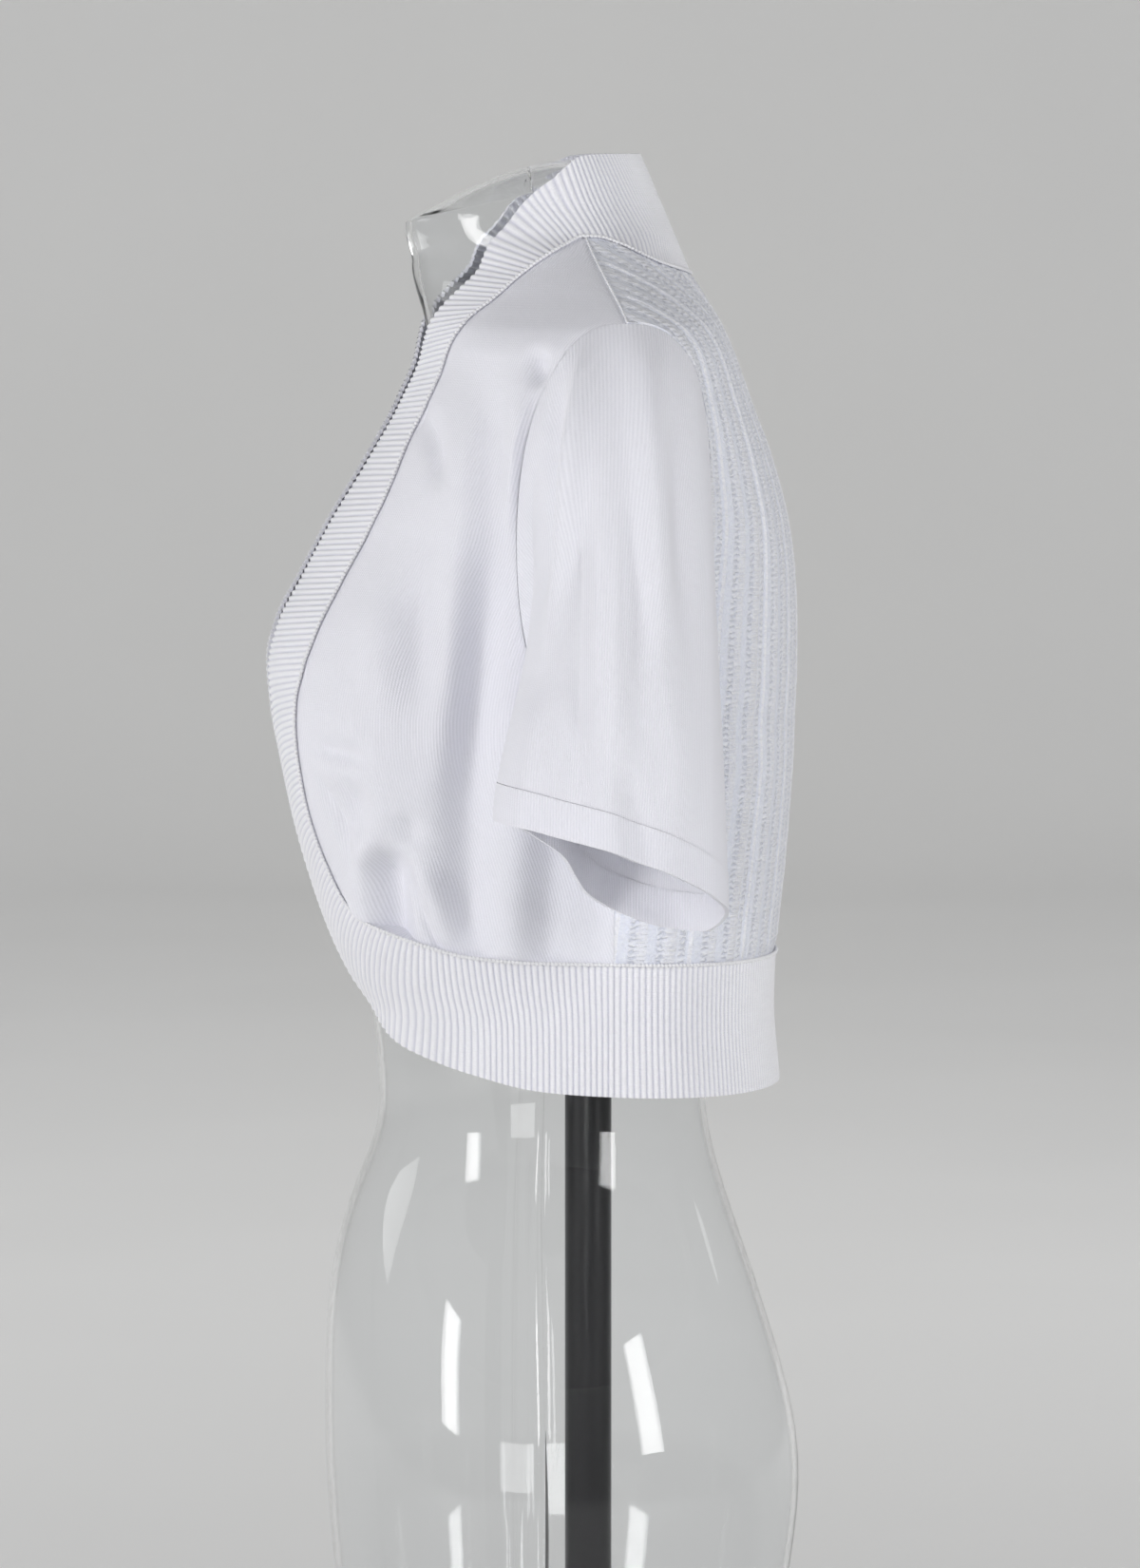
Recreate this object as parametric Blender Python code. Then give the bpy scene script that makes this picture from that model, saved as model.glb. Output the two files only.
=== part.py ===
"""A short-sleeved knit bolero worn by a clear dress form on a black pole.

Metres, +Z up. The wearer faces -Y and the wearer's left side is +X. The origin is on the floor,
in the middle of the round base. The tables are in millimetres and degrees. An angle is measured
round the body: 0 is the front centre, 90 the left side, 180 the back centre, 270 the right side.
"""

from bisect import bisect_right
from collections import namedtuple
from math import atan2, copysign, cos, degrees, exp, pi, radians, sin

import bmesh
import bpy
from mathutils import Vector

MM = 0.001

# Cloth thickness, and the gap that is left where two pieces meet.
JERSEY_WALL = 1.5
LACE_WALL = 1.8
BAND_WALL = 2.0
HEM_WALL = 2.2
SEAM_GAP = 0.3

# Raised relief on the outside of the walls.
BAND_RIB_PITCH = 5.6
BAND_RIB_HEIGHT = 0.9
BACK_CORD_HEIGHT = 0.9

# The dress form and its stand.
FORM_WALL = 3.0
FORM_BOTTOM = 163.0
NECK_CAP_SLOPE = 0.26
NECK_CAP_CROWN = 12.0
FORM_JOIN_Y = -30.0
POLE_RADIUS = 11.7
SPIGOT_RADIUS = 5.0
SPIGOT_START = 896.0
BASE_RADIUS = 175.0
BASE_HEIGHT = 8.0
FLANGE_RADIUS = 27.0
FLANGE_HEIGHT = 14.0

Section = namedtuple(
    "Section", "height half_width middle front back front_square back_square bust"
)

# The cloth's horizontal sections, from the hem up to the top of the collar. front and back are
# how far it reaches on the centre line, and middle is where it is widest.
CLOTH = [
    Section(484, 138, 5, -106, 94, 3.2, 2.4, 0),
    Section(523, 138, 5, -113, 91, 3.4, 2.4, 0),
    Section(540, 138, 5, -122, 91.5, 3.5, 2.4, 0),
    Section(562, 138.5, 5, -131.5, 93, 3.6, 2.4, 0),
    Section(590, 140, 5, -141, 96, 3.4, 2.4, 0),
    Section(614, 142, 5, -147.5, 98, 3.5, 2.4, 0),
    Section(643, 145, 5, -153.5, 100, 3.6, 2.4, 0),
    Section(667, 147, 5, -158, 101, 3.3, 2.3, 0),
    Section(691, 149, 5, -160, 102, 2.8, 2.3, 0),
    Section(710, 150, 5, -156, 102, 2.6, 2.3, 0),
    Section(734, 154, 5, -144, 101, 2.4, 2.3, 0),
    Section(758, 160, 5, -131.5, 98, 2.2, 2.3, 0),
    Section(790, 169, 6, -112, 90, 2.2, 2.2, 0),
    Section(820, 178, 8, -95.5, 79, 2.1, 2.1, 0),
    Section(845, 180, 10, -86.5, 70, 1.95, 2.0, 0),
    Section(857, 173, 10, -86, 65, 1.8, 1.9, 0),
    Section(865, 160, 8, -86.5, 61, 1.6, 1.75, 0),
    Section(875, 137, 4, -87, 55, 1.42, 1.6, 0),
    Section(885, 110, 0, -88.5, 49, 1.38, 1.5, 0),
    Section(893, 88, -3, -89.5, 46, 1.6, 1.6, 0),
    Section(902, 70, -6, -91, 42, 2.0, 2.0, 0),
    Section(920, 60, -16, -93, 34.5, 2.0, 2.0, 0),
    Section(942, 57, -24, -97, 25, 2.0, 2.0, 0),
]

# The dress form's own sections. bust is how far the two cups stand forward of the front line.
FORM = [
    Section(FORM_BOTTOM, 150, -30, -118, 86, 2.3, 2.3, 0),
    Section(230, 164, -30, -127, 99, 2.3, 2.3, 0),
    Section(254, 168, -30, -129, 102, 2.3, 2.3, 0),
    Section(293, 170, -30, -131.5, 105, 2.3, 2.3, 0),
    Section(336, 164, -30, -131.5, 96.5, 2.3, 2.3, 0),
    Section(384, 148, -30, -128.5, 82, 2.3, 2.3, 0),
    Section(427, 128, -30, -117, 67.7, 2.2, 2.2, 0),
    Section(451, 118, -29, -105, 60.5, 2.2, 2.2, 0),
    Section(475, 115, -28, -104, 58, 2.2, 2.2, 0),
    Section(523, 117, -27, -110, 56, 2.3, 2.2, 0),
    Section(571, 122, -26, -114, 61, 2.3, 2.2, 0),
    Section(614, 129, -25, -119, 71, 2.3, 2.2, 3),
    Section(643, 134, -24, -124, 76, 2.3, 2.2, 11),
    Section(667, 137, -22, -129, 81, 2.3, 2.2, 21),
    Section(691, 140, -20, -132, 85, 2.3, 2.2, 24),
    Section(710, 142, -18, -131, 87, 2.3, 2.2, 19),
    Section(734, 146, -15, -126, 88, 2.2, 2.2, 9),
    Section(758, 152, -10, -116, 88, 2.1, 2.2, 3),
    Section(790, 161, -4, -101, 82, 2.1, 2.2, 0),
    Section(820, 170, 4, -88, 72, 2.05, 2.1, 0),
    Section(842, 172, 9, -79, 60, 1.88, 1.88, 0),
    Section(854.7, 167, 10, -79, 57, 1.72, 1.76, 0),
    Section(862.8, 156, 8, -79.5, 54, 1.52, 1.62, 0),
    Section(872.9, 134, 4, -80.5, 50, 1.36, 1.52, 0),
    Section(882.9, 107, 0, -82, 45, 1.32, 1.42, 0),
    Section(890.8, 83, -4, -83, 41, 1.44, 1.5, 0),
    Section(899, 64, -11, -87, 37, 1.9, 1.95, 0),
    Section(911, 57, -22, -89, 29, 2.0, 2.0, 0),
    Section(923.6, 52, -30, -90, 20.5, 2.0, 2.0, 0),
]
BUST_APEX = 70.0
BUST_SPREAD = 36.0

# One row for each station along the rib band: where its seam to the body lies, and where its free
# edge lies. It runs from the back of the neck, down the left front and round the hem to the back.
BandLine = namedtuple("BandLine", "station seam_angle seam_height edge_angle edge_height")
BAND = [
    BandLine(0, 180, 883, 180, 942),
    BandLine(1, 165.5, 885, 158, 942),
    BandLine(2, 135, 890, 130, 942),
    BandLine(3, 110.5, 898, 111, 941),
    BandLine(4, 99, 901.5, 100, 936.5),
    BandLine(5, 90, 902, 88, 929),
    BandLine(6, 83, 898, 77, 920),
    BandLine(7, 74.5, 892.5, 62, 904),
    BandLine(8, 58.5, 882, 40.5, 885),
    BandLine(9, 45, 871, 24, 871),
    BandLine(10, 35.5, 861, 15, 856),
    BandLine(11, 29, 841, 11, 836),
    BandLine(12, 29, 812, 9.5, 809),
    BandLine(13, 31.5, 788, 9.5, 785),
    BandLine(14, 33, 770, 9.5, 766),
    BandLine(15, 33.5, 741, 10.5, 737),
    BandLine(16, 34.5, 713, 11, 708),
    BandLine(17, 34, 693, 11, 687),
    BandLine(18, 33, 677, 12, 668),
    BandLine(19, 33, 657, 12, 646),
    BandLine(20, 32.5, 627, 12.5, 612),
    BandLine(21, 33.5, 608, 14.5, 584),
    BandLine(22, 36.5, 584, 18.5, 554),
    BandLine(23, 41.5, 571, 25.5, 531),
    BandLine(24, 48, 565, 34.5, 513),
    BandLine(25, 54, 560, 47, 504),
    BandLine(26, 61, 555, 58, 497),
    BandLine(27, 73, 552, 71.5, 490),
    BandLine(28, 90, 551, 90, 487),
    BandLine(29, 135, 549, 135, 485),
    BandLine(30, 180, 547, 180, 484),
]
NECK_STATION = 5
CORNER_STATION = 24
SIDE_STATION = 28
BACK_STATION = 30

# Soft vertical folds in a front panel: troughs have a negative depth.
FrontFold = namedtuple("FrontFold", "top_angle top_height low_angle low_height depth width")
FRONT_FOLDS = [
    FrontFold(53, 815, 52, 600, 2.2, 10),
    FrontFold(62, 810, 55, 590, -2.6, 11),
    FrontFold(67, 800, 60, 580, 2.2, 9),
    FrontFold(72, 780, 64, 590, -2.4, 8),
    FrontFold(75, 700, 70, 575, 2.0, 8),
    FrontFold(46, 640, 48, 580, -3.0, 14),
]

# A point on the cloth and the direction out of it.
Spot = namedtuple("Spot", "point normal")

# The armhole: an upright oval on the side of the body.
ARMHOLE_HEIGHT = 762.0
ARMHOLE_HALF_HEIGHT = 100.0
ARMHOLE_FRONT = 48.0
ARMHOLE_BACK = 45.0
ARMHOLE_SQUARE = 2.5

# The cuff's rim. turn is measured round the sleeve: 0 is the outside, 90 the front, 180 the inside.
Cuff = namedtuple("Cuff", "turn x y z")
CUFF = [
    Cuff(0, 262, -4, 617),
    Cuff(30, 257, -24, 622),
    Cuff(60, 243, -45, 627),
    Cuff(90, 222, -57, 629),
    Cuff(115, 203, -45, 624),
    Cuff(135, 190, -24, 608),
    Cuff(155, 181, -11, 590),
    Cuff(180, 174, 6, 580),
    Cuff(210, 176, 28, 573),
    Cuff(240, 187, 45, 572),
    Cuff(270, 212, 55, 583),
    Cuff(300, 236, 47, 593),
    Cuff(330, 253, 24, 606),
    Cuff(360, 262, -4, 617),
]
SLEEVE_HEM = 18.0

# The sleeve leaves the armhole along these directions at its top and at the underarm, and hangs
# straight at the cuff.
SLEEVE_LEAVES_TOP = Vector((0.80, 0.0, -0.60))
SLEEVE_LEAVES_UNDERARM = Vector((0.42, 0.0, -0.91))
SLEEVE_ENDS = Vector((0.16, 0.0, -0.99))

SleeveFold = namedtuple("SleeveFold", "turn start end depth width")
SLEEVE_FOLDS = [
    SleeveFold(40, 0.05, 0.75, 3.0, 16),
    SleeveFold(12, 0.10, 0.85, -2.6, 16),
    SleeveFold(345, 0.05, 0.80, 2.8, 16),
    SleeveFold(315, 0.15, 0.95, -2.2, 18),
    SleeveFold(75, 0.40, 0.95, -2.4, 16),
]

# Heights where the shoulder seam starts and ends.
NECK_HEIGHT = 902.0
SHOULDER_TIP_HEIGHT = ARMHOLE_HEIGHT + ARMHOLE_HALF_HEIGHT

# The sleeve's first ring lies just inside the armhole, and just outside the body at the underarm.
ARMHOLE_INSET = 0.35
SLEEVE_LIFT = 0.7
HEM_PROUD = 0.3

# The back's cords fade out over this distance from the armhole.
CORD_FADE_START = 3.0
CORD_FADE_LENGTH = 14.0

# The sharpest corner whose two edges both get their full gap.
MITRE_LIMIT = 0.4

NECK_LEAN_START = 899.0
SHARP_ANGLE = radians(28)
SPIGOT_GAP = 0.6
EDGE_BEVEL = 1.5

# How finely each piece is divided.
SIDE_ROWS = 5
ARMHOLE_ROWS = 12
PANEL_ROWS = SIDE_ROWS + ARMHOLE_ROWS
RELAXING_ROUNDS = 10
RELAXING_MARGIN = 7
FRONT_COLUMNS = 12
NECK_COLUMNS = 8
BACK_COLUMNS = 2 * (FRONT_COLUMNS + NECK_COLUMNS)
SLEEVE_ROWS = 9
HEM_ROWS = 2
BAND_ROWS = 3
FORM_COLUMNS = 12
FORM_HEIGHTS = [
    FORM_BOTTOM, 200, 245, 293, 340, 384, 427, 460, 500, 550, 600, 643, 680, 710, 745, 785,
    820, 842, 854, 862, 872, 882, 890, 899, 911, FORM[-1].height,
]
CAP_ROWS = 4
POLE_SIDES = 24
BASE_SIDES = 48


def smooth_value(rows, column, at):
    """Reads a column between a table's rows, on a smooth curve that never overshoots them."""
    places = [row[0] for row in rows]
    at = min(max(at, places[0]), places[-1])
    low = min(bisect_right(places, at), len(rows) - 1) - 1

    def rise(index):
        below, above = rows[index], rows[index + 1]
        return (getattr(above, column) - getattr(below, column)) / (above[0] - below[0])

    def slope(index):
        if index == 0:
            return rise(0)
        if index == len(rows) - 1:
            return rise(index - 1)
        before, after = rise(index - 1), rise(index)
        return 0 if before * after <= 0 else 2 * before * after / (before + after)

    step = places[low + 1] - places[low]
    t = (at - places[low]) / step
    start, end = getattr(rows[low], column), getattr(rows[low + 1], column)
    return (
        start
        + (end - start) * t * t * (3 - 2 * t)
        + slope(low) * step * t * (1 - t) ** 2
        - slope(low + 1) * step * t * t * (1 - t)
    )


def body_point(sections, angle, height):
    """A point on the cloth or the form, at an angle round the body and a height."""
    across, along = sin(radians(angle)), cos(radians(angle))
    middle = smooth_value(sections, "middle", height)
    side = "front" if along > 0 else "back"
    reach = smooth_value(sections, side, height) - middle
    square = smooth_value(sections, side + "_square", height)
    out = (abs(across) ** square + abs(along) ** square) ** (-1 / square)
    x = smooth_value(sections, "half_width", height) * across * out
    y = middle + reach * abs(along) * out
    if along > 0:
        cup = exp(-(((abs(x) - BUST_APEX) / BUST_SPREAD) ** 2))
        y -= smooth_value(sections, "bust", height) * cup * min(1, 2 * along)
    return Vector((x, y, height))


def body_normal(sections, angle, height):
    low = max(height - 1, sections[0].height)
    high = min(height + 1, sections[-1].height)
    round_body = body_point(sections, angle + 1, height) - body_point(sections, angle - 1, height)
    up_body = body_point(sections, angle, high) - body_point(sections, angle, low)
    return round_body.cross(up_body).normalized()


def angle_at(height, y):
    """The angle, between the front and the back centre, where the cloth has this y."""
    low, high = 0.0, 180.0
    for _ in range(40):
        middle = (low + high) / 2
        if body_point(CLOTH, middle, height).y < y:
            low = middle
        else:
            high = middle
    return (low + high) / 2


def on_cloth(place, lift=0.0):
    angle, height = place
    return body_point(CLOTH, angle, height) + lift * body_normal(CLOTH, angle, height)


def band_place(station, share):
    """A place on the rib band, from its seam (0) to its free edge (1)."""
    return tuple(
        smooth_value(BAND, "seam_" + kind, station) * (1 - share)
        + smooth_value(BAND, "edge_" + kind, station) * share
        for kind in ("angle", "height")
    )


def seam_place(station):
    return band_place(station, 0)


def other_side(place):
    angle, height = place
    return 360 - angle, height


def mix(start, end, share):
    return tuple(a + (b - a) * share for a, b in zip(start, end))


def even_path(place_at, start, end, samples=90):
    """Measures a path on the cloth. Returns a function that gives, for a share from 0 to 1 of its
    length, the path's own position there, and the length."""
    stops = [start + (end - start) * k / samples for k in range(samples + 1)]
    points = [on_cloth(place_at(stop)) for stop in stops]
    lengths = [0.0]
    for before, after in zip(points, points[1:]):
        lengths.append(lengths[-1] + (after - before).length)

    def at(share):
        target = share * lengths[-1]
        k = min(max(bisect_right(lengths, target), 1), samples) - 1
        step = lengths[k + 1] - lengths[k]
        return stops[k] + (stops[k + 1] - stops[k]) * (target - lengths[k]) / step

    return at, lengths[-1]


def armhole_place(turn, inset=0.0):
    """The armhole's edge. turn is 0 at the shoulder, 90 in front and 180 at the underarm."""
    up, forward = cos(radians(turn)), sin(radians(turn))
    power = 2 / ARMHOLE_SQUARE
    height = ARMHOLE_HEIGHT + (ARMHOLE_HALF_HEIGHT - inset) * copysign(abs(up) ** power, up)
    reach = (ARMHOLE_FRONT if forward > 0 else ARMHOLE_BACK) - inset
    y = smooth_value(CLOTH, "middle", height) - reach * copysign(abs(forward) ** power, forward)
    if abs(forward) < 1e-6:
        return 90.0, height
    return angle_at(height, y), height


def in_section(point):
    """A point's angle in the cloth's section at its height, and whether it lies inside."""
    middle = smooth_value(CLOTH, "middle", point.z)
    side = "front" if point.y < middle else "back"
    along = (point.y - middle) / (smooth_value(CLOTH, side, point.z) - middle)
    across = point.x / smooth_value(CLOTH, "half_width", point.z)
    square = smooth_value(CLOTH, side + "_square", point.z)
    angle = degrees(atan2(across, along if side == "front" else -along)) % 360
    return angle, abs(across) ** square + along**square < 1


def place_of(point):
    """The place on the cloth in the direction of a point, seen from the body's own middle: level
    with the point, and from the armhole's height for all points above that."""
    centre = Vector((0, 0, min(point.z, ARMHOLE_HEIGHT)))
    near, far = 0.0, 2.0
    for _ in range(30):
        reach = (near + far) / 2
        if in_section(centre.lerp(point, reach))[1]:
            near = reach
        else:
            far = reach
    hit = centre.lerp(point, near)
    return in_section(hit)[0], hit.z


def patch(bottom, top, left, right, columns, rows):
    """Spans four edges, each a function from 0 to 1 that gives a place, with a grid of places."""
    rim = {}
    for column in range(columns + 1):
        rim[0, column], rim[rows, column] = bottom(column / columns), top(column / columns)
    for row in range(rows + 1):
        rim[row, 0], rim[row, columns] = left(row / rows), right(row / rows)
    points = {spot: on_cloth(place) for spot, place in rim.items()}
    inside = [(row, column) for row in range(1, rows) for column in range(1, columns)]
    for row, column in inside:
        up, across = row / rows, column / columns
        low, high = [
            points[end, 0].lerp(points[end, columns], across) for end in (0, rows)
        ]
        points[row, column] = (
            points[row, 0].lerp(points[row, columns], across)
            + points[0, column].lerp(points[rows, column], up)
            - low.lerp(high, up)
        )
    far_from_sides = range(RELAXING_MARGIN, columns - RELAXING_MARGIN + 1)
    for _ in range(RELAXING_ROUNDS):
        for row, column in inside:
            if column not in far_from_sides:
                continue
            beside = points[row, column - 1] + points[row, column + 1]
            points[row, column] = (beside + points[row - 1, column] + points[row + 1, column]) / 4
    return [
        [
            rim[row, column] if (row, column) in rim else place_of(points[row, column])
            for column in range(columns + 1)
        ]
        for row in range(rows + 1)
    ]


def side_edge(armhole_turn_at):
    """A panel's outer edge: up the side seam, then round its half of the armhole."""

    def place(up):
        row = up * PANEL_ROWS
        if row <= SIDE_ROWS:
            return mix(seam_place(SIDE_STATION), armhole_place(180), row / SIDE_ROWS)
        return armhole_place(armhole_turn_at((row - SIDE_ROWS) / ARMHOLE_ROWS))

    return place


def spot_at(place):
    """A point on the cloth, with the direction out of it."""
    return Spot(body_point(CLOTH, *place), body_normal(CLOTH, *place))


def spots(places):
    return [[spot_at(place) for place in row] for row in places]


def drawn_in(sheet):
    """A sheet of spots, its four edges moved in by half a seam's gap, square to each edge."""
    last_row, last_column = len(sheet) - 1, len(sheet[0]) - 1
    rim = [(0, column) for column in range(last_column)]
    rim += [(row, last_column) for row in range(last_row)]
    rim += [(last_row, column) for column in range(last_column, 0, -1)]
    rim += [(row, 0) for row in range(last_row, 0, -1)]
    corner = sheet[0][0].point
    turn = (sheet[0][1].point - corner).cross(sheet[1][0].point - corner).dot(sheet[0][0].normal)
    moved = [list(row) for row in sheet]
    for k, (row, column) in enumerate(rim):
        point, normal = sheet[row][column]
        if turn < 0:
            normal = -normal
        before = sheet[rim[k - 1][0]][rim[k - 1][1]].point
        next_row, next_column = rim[(k + 1) % len(rim)]
        after = sheet[next_row][next_column].point
        one = normal.cross(point - before).normalized()
        other = normal.cross(after - point).normalized()
        shift = (one + other) * (SEAM_GAP / 2 / max(1 + one.dot(other), MITRE_LIMIT))
        moved[row][column] = Spot(point + shift, sheet[row][column].normal)
    return moved


def raised(sheet, lifts):
    """The points of a sheet of spots, each moved out by its lift."""
    return [
        [spot.point + spot.normal * lift for spot, lift in zip(*rows)] for rows in zip(sheet, lifts)
    ]


def level(sheet, lift):
    return [[spot.point + spot.normal * lift for spot in row] for row in sheet]


def add_piece(name, mesh, material):
    """Closes up a piece's mesh, puts it in the scene and shades it smooth between its edges."""
    bmesh.ops.scale(mesh, vec=(MM, MM, MM), verts=mesh.verts)
    bmesh.ops.recalc_face_normals(mesh, faces=mesh.faces)
    data = bpy.data.meshes.new(name)
    mesh.to_mesh(data)
    mesh.free()
    data.shade_smooth()
    data.set_sharp_from_angle(angle=SHARP_ANGLE)
    data.materials.append(material)
    piece = bpy.data.objects.new(name, data)
    bpy.context.scene.collection.objects.link(piece)
    return piece


def join_edges(mesh, one, other):
    """Fills the strip between two runs of points that may differ in number."""
    i = j = 0
    while i < len(one) - 1 or j < len(other) - 1:
        if j == len(other) - 1:
            go_on = True
        elif i == len(one) - 1:
            go_on = False
        else:
            go_on = (one[i + 1].co - other[j].co).length < (one[i].co - other[j + 1].co).length
        if go_on:
            mesh.faces.new((one[i], one[i + 1], other[j]))
            i += 1
        else:
            mesh.faces.new((one[i], other[j], other[j + 1]))
            j += 1


def add_sheet(mesh, grid):
    """One side of a wall, from rows of points. Returns its rows of vertices."""
    rows = [[mesh.verts.new(point) for point in row] for row in grid]
    for low, high in zip(rows, rows[1:]):
        for k in range(len(low) - 1):
            mesh.faces.new((low[k], low[k + 1], high[k + 1], high[k]))
    return rows


def open_wall(name, outer, inner, material):
    """A wall with four edges, such as a cloth panel. inner may have fewer columns than outer."""
    mesh = bmesh.new()
    outside = add_sheet(mesh, outer)
    inside = add_sheet(mesh, inner)
    for one, other in (
        (outside[0], inside[0]),
        (outside[-1], inside[-1]),
        ([row[0] for row in outside], [row[0] for row in inside]),
        ([row[-1] for row in outside], [row[-1] for row in inside]),
    ):
        join_edges(mesh, one, other)
    bmesh.ops.remove_doubles(mesh, verts=mesh.verts, dist=0.001)
    return add_piece(name, mesh, material)


def round_wall(name, outer, inner, material):
    """A tube-shaped wall with two open ends, such as a sleeve."""
    mesh = bmesh.new()
    sides = [[[mesh.verts.new(point) for point in ring] for ring in grid] for grid in (outer, inner)]
    for rings in sides:
        for low, high in zip(rings, rings[1:]):
            for k in range(len(low)):
                mesh.faces.new((low[k - 1], low[k], high[k], high[k - 1]))
    outside, inside = sides
    for end in (0, -1):
        for k in range(len(outside[end])):
            ring, lining = outside[end], inside[end]
            mesh.faces.new((ring[k - 1], ring[k], lining[k], lining[k - 1]))
    return add_piece(name, mesh, material)


def both_sides(sheet):
    """A sheet that ends at the back centre, with its mirror image joined on there."""
    flip = Vector((-1, 1, 1))
    return [row + [Spot(spot.point * flip, spot.normal * flip) for spot in row[-2::-1]] for row in sheet]


def mirrored(grid):
    return [[Vector((-point.x, point.y, point.z)) for point in row] for row in grid]


def finish(name, colour, roughness, metallic=0.0, clear=0.0):
    material = bpy.data.materials.new(name)
    material.use_nodes = True
    shader = material.node_tree.nodes["Principled BSDF"]
    shader.inputs["Base Color"].default_value = (*colour, 1.0)
    shader.inputs["Roughness"].default_value = roughness
    shader.inputs["Metallic"].default_value = metallic
    shader.inputs["Transmission Weight"].default_value = clear
    return material


def fold_share(at, start, end):
    """How strongly a fold shows along its length: nothing at its ends, most in its middle."""
    t = (at - start) / (end - start)
    return sin(pi * t) ** 1.2 if 0 < t < 1 else 0.0


def front_relief(angle, height):
    relief = 0.0
    for fold in FRONT_FOLDS:
        share = (height - fold.low_height) / (fold.top_height - fold.low_height)
        centre = fold.low_angle + (fold.top_angle - fold.low_angle) * share
        across = exp(-(((angle - centre) / (fold.width / 2)) ** 2))
        relief += fold.depth * across * fold_share(share, 0, 1)
    return relief


def front_panels(material):
    """The two smooth fronts, from the rib band to the side seam, the armhole and the shoulder."""
    shoulder_at, _ = even_path(lambda height: (90.0, height), NECK_HEIGHT, SHOULDER_TIP_HEIGHT)
    places = patch(
        bottom=lambda share: seam_place(CORNER_STATION + (SIDE_STATION - CORNER_STATION) * share),
        top=lambda share: (90.0, shoulder_at(share)),
        left=lambda share: seam_place(CORNER_STATION + (NECK_STATION - CORNER_STATION) * share),
        right=side_edge(even_path(armhole_place, 180, 0)[0]),
        columns=FRONT_COLUMNS,
        rows=PANEL_ROWS,
    )
    folds = [[front_relief(*place) for place in row] for row in places]
    lining = [[fold - JERSEY_WALL for fold in row] for row in folds]
    sheet = drawn_in(spots(places))
    outer, inner = raised(sheet, folds), raised(sheet, lining)
    open_wall("front_left", outer, inner, material)
    open_wall("front_right", mirrored(outer), mirrored(inner), material)


def back_edges():
    """The back panel's four edges. Its top runs up one shoulder, round the neck and down again."""
    shoulder_at, _ = even_path(lambda height: (90.0, height), SHOULDER_TIP_HEIGHT, NECK_HEIGHT)
    hem_at, _ = even_path(seam_place, SIDE_STATION, BACK_STATION)
    left_side = side_edge(even_path(armhole_place, 180, 360)[0])

    def half_top(share):
        column = share * (FRONT_COLUMNS + NECK_COLUMNS)
        if column <= FRONT_COLUMNS:
            return 90.0, shoulder_at(column / FRONT_COLUMNS)
        return seam_place(NECK_STATION * (1 - (column - FRONT_COLUMNS) / NECK_COLUMNS))

    def whole(half):
        def place(share):
            if share <= 0.5:
                return half(share * 2)
            return other_side(half(2 - share * 2))

        return place

    return (
        whole(lambda share: seam_place(hem_at(share))),
        whole(half_top),
        left_side,
        lambda share: other_side(left_side(share)),
    )


def back_panel(material):
    """The textured back, with raised cords that run from the hem to the shoulders and the neck."""
    places = patch(*back_edges(), columns=BACK_COLUMNS, rows=PANEL_ROWS)
    sheet = drawn_in(spots(places))
    cords = []
    for row in sheet:
        heights = []
        for column, spot in enumerate(row):
            apart = min((spot.point - end.point).length for end in (row[0], row[-1]))
            fade = min(1, max(0, (apart - CORD_FADE_START) / CORD_FADE_LENGTH))
            heights.append(BACK_CORD_HEIGHT * (column % 2) * fade)
        cords.append(heights)
    open_wall("back_panel", raised(sheet, cords), level(sheet, -LACE_WALL), material)


def band_line(station, seam_spot):
    """The spots across the band at a station, from its seam to its free edge."""
    rest = [band_place(station, row / BAND_ROWS) for row in range(1, BAND_ROWS + 1)]
    return [seam_spot] + [spot_at(place) for place in rest]


def band_sheets(knots):
    """The outer and inner sheets of a rib band, and the lifts that raise its ribs. Its seam runs
    straight between the points of the panel beside it, and a whole number of ribs fits there."""
    fine, lifts = [], []
    coarse = [band_line(knot, spot_at(seam_place(knot))) for knot in knots]
    for low, high, start, end in zip(coarse, coarse[1:], knots, knots[1:]):
        halves = 2 * max(1, round((high[1].point - low[1].point).length / BAND_RIB_PITCH))
        for k in range(halves):
            share = k / halves
            seam_spot = Spot(*(a.lerp(b, share) for a, b in zip(low[0], high[0])))
            fine.append(band_line(start + (end - start) * share, seam_spot))
            lifts.append(BAND_RIB_HEIGHT * (k % 2))
    fine.append(coarse[-1])
    lifts.append(0.0)
    across = [[list(row) for row in zip(*lines)] for lines in (fine, coarse)]
    return across[0], across[1], lifts


def front_bands(material):
    """The rib band on each side, from the back of the neck down the front and round to the side."""
    neck_to_corner = CORNER_STATION - NECK_STATION
    corner_to_side = SIDE_STATION - CORNER_STATION
    knots = [NECK_STATION * k / NECK_COLUMNS for k in range(NECK_COLUMNS)]
    knots += [NECK_STATION + neck_to_corner * k / PANEL_ROWS for k in range(PANEL_ROWS)]
    knots += [CORNER_STATION + corner_to_side * k / FRONT_COLUMNS for k in range(FRONT_COLUMNS + 1)]
    ribbed, plain, lifts = band_sheets(knots)
    outer = raised(drawn_in(ribbed), [lifts] * len(ribbed))
    inner = level(drawn_in(plain), -BAND_WALL)
    open_wall("front_band_left", outer, inner, material)
    open_wall("front_band_right", mirrored(outer), mirrored(inner), material)


def hem_band(material):
    """The rib band along the back hem, from side seam to side seam."""
    hem_at, _ = even_path(seam_place, SIDE_STATION, BACK_STATION)
    half_columns = BACK_COLUMNS // 2
    knots = [hem_at(k / half_columns) for k in range(half_columns + 1)]
    ribbed, plain, lifts = band_sheets(knots)
    outer = raised(drawn_in(both_sides(ribbed)), [lifts + lifts[-2::-1]] * len(ribbed))
    inner = level(drawn_in(both_sides(plain)), -BAND_WALL)
    open_wall("hem_band_back", outer, inner, material)


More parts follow.
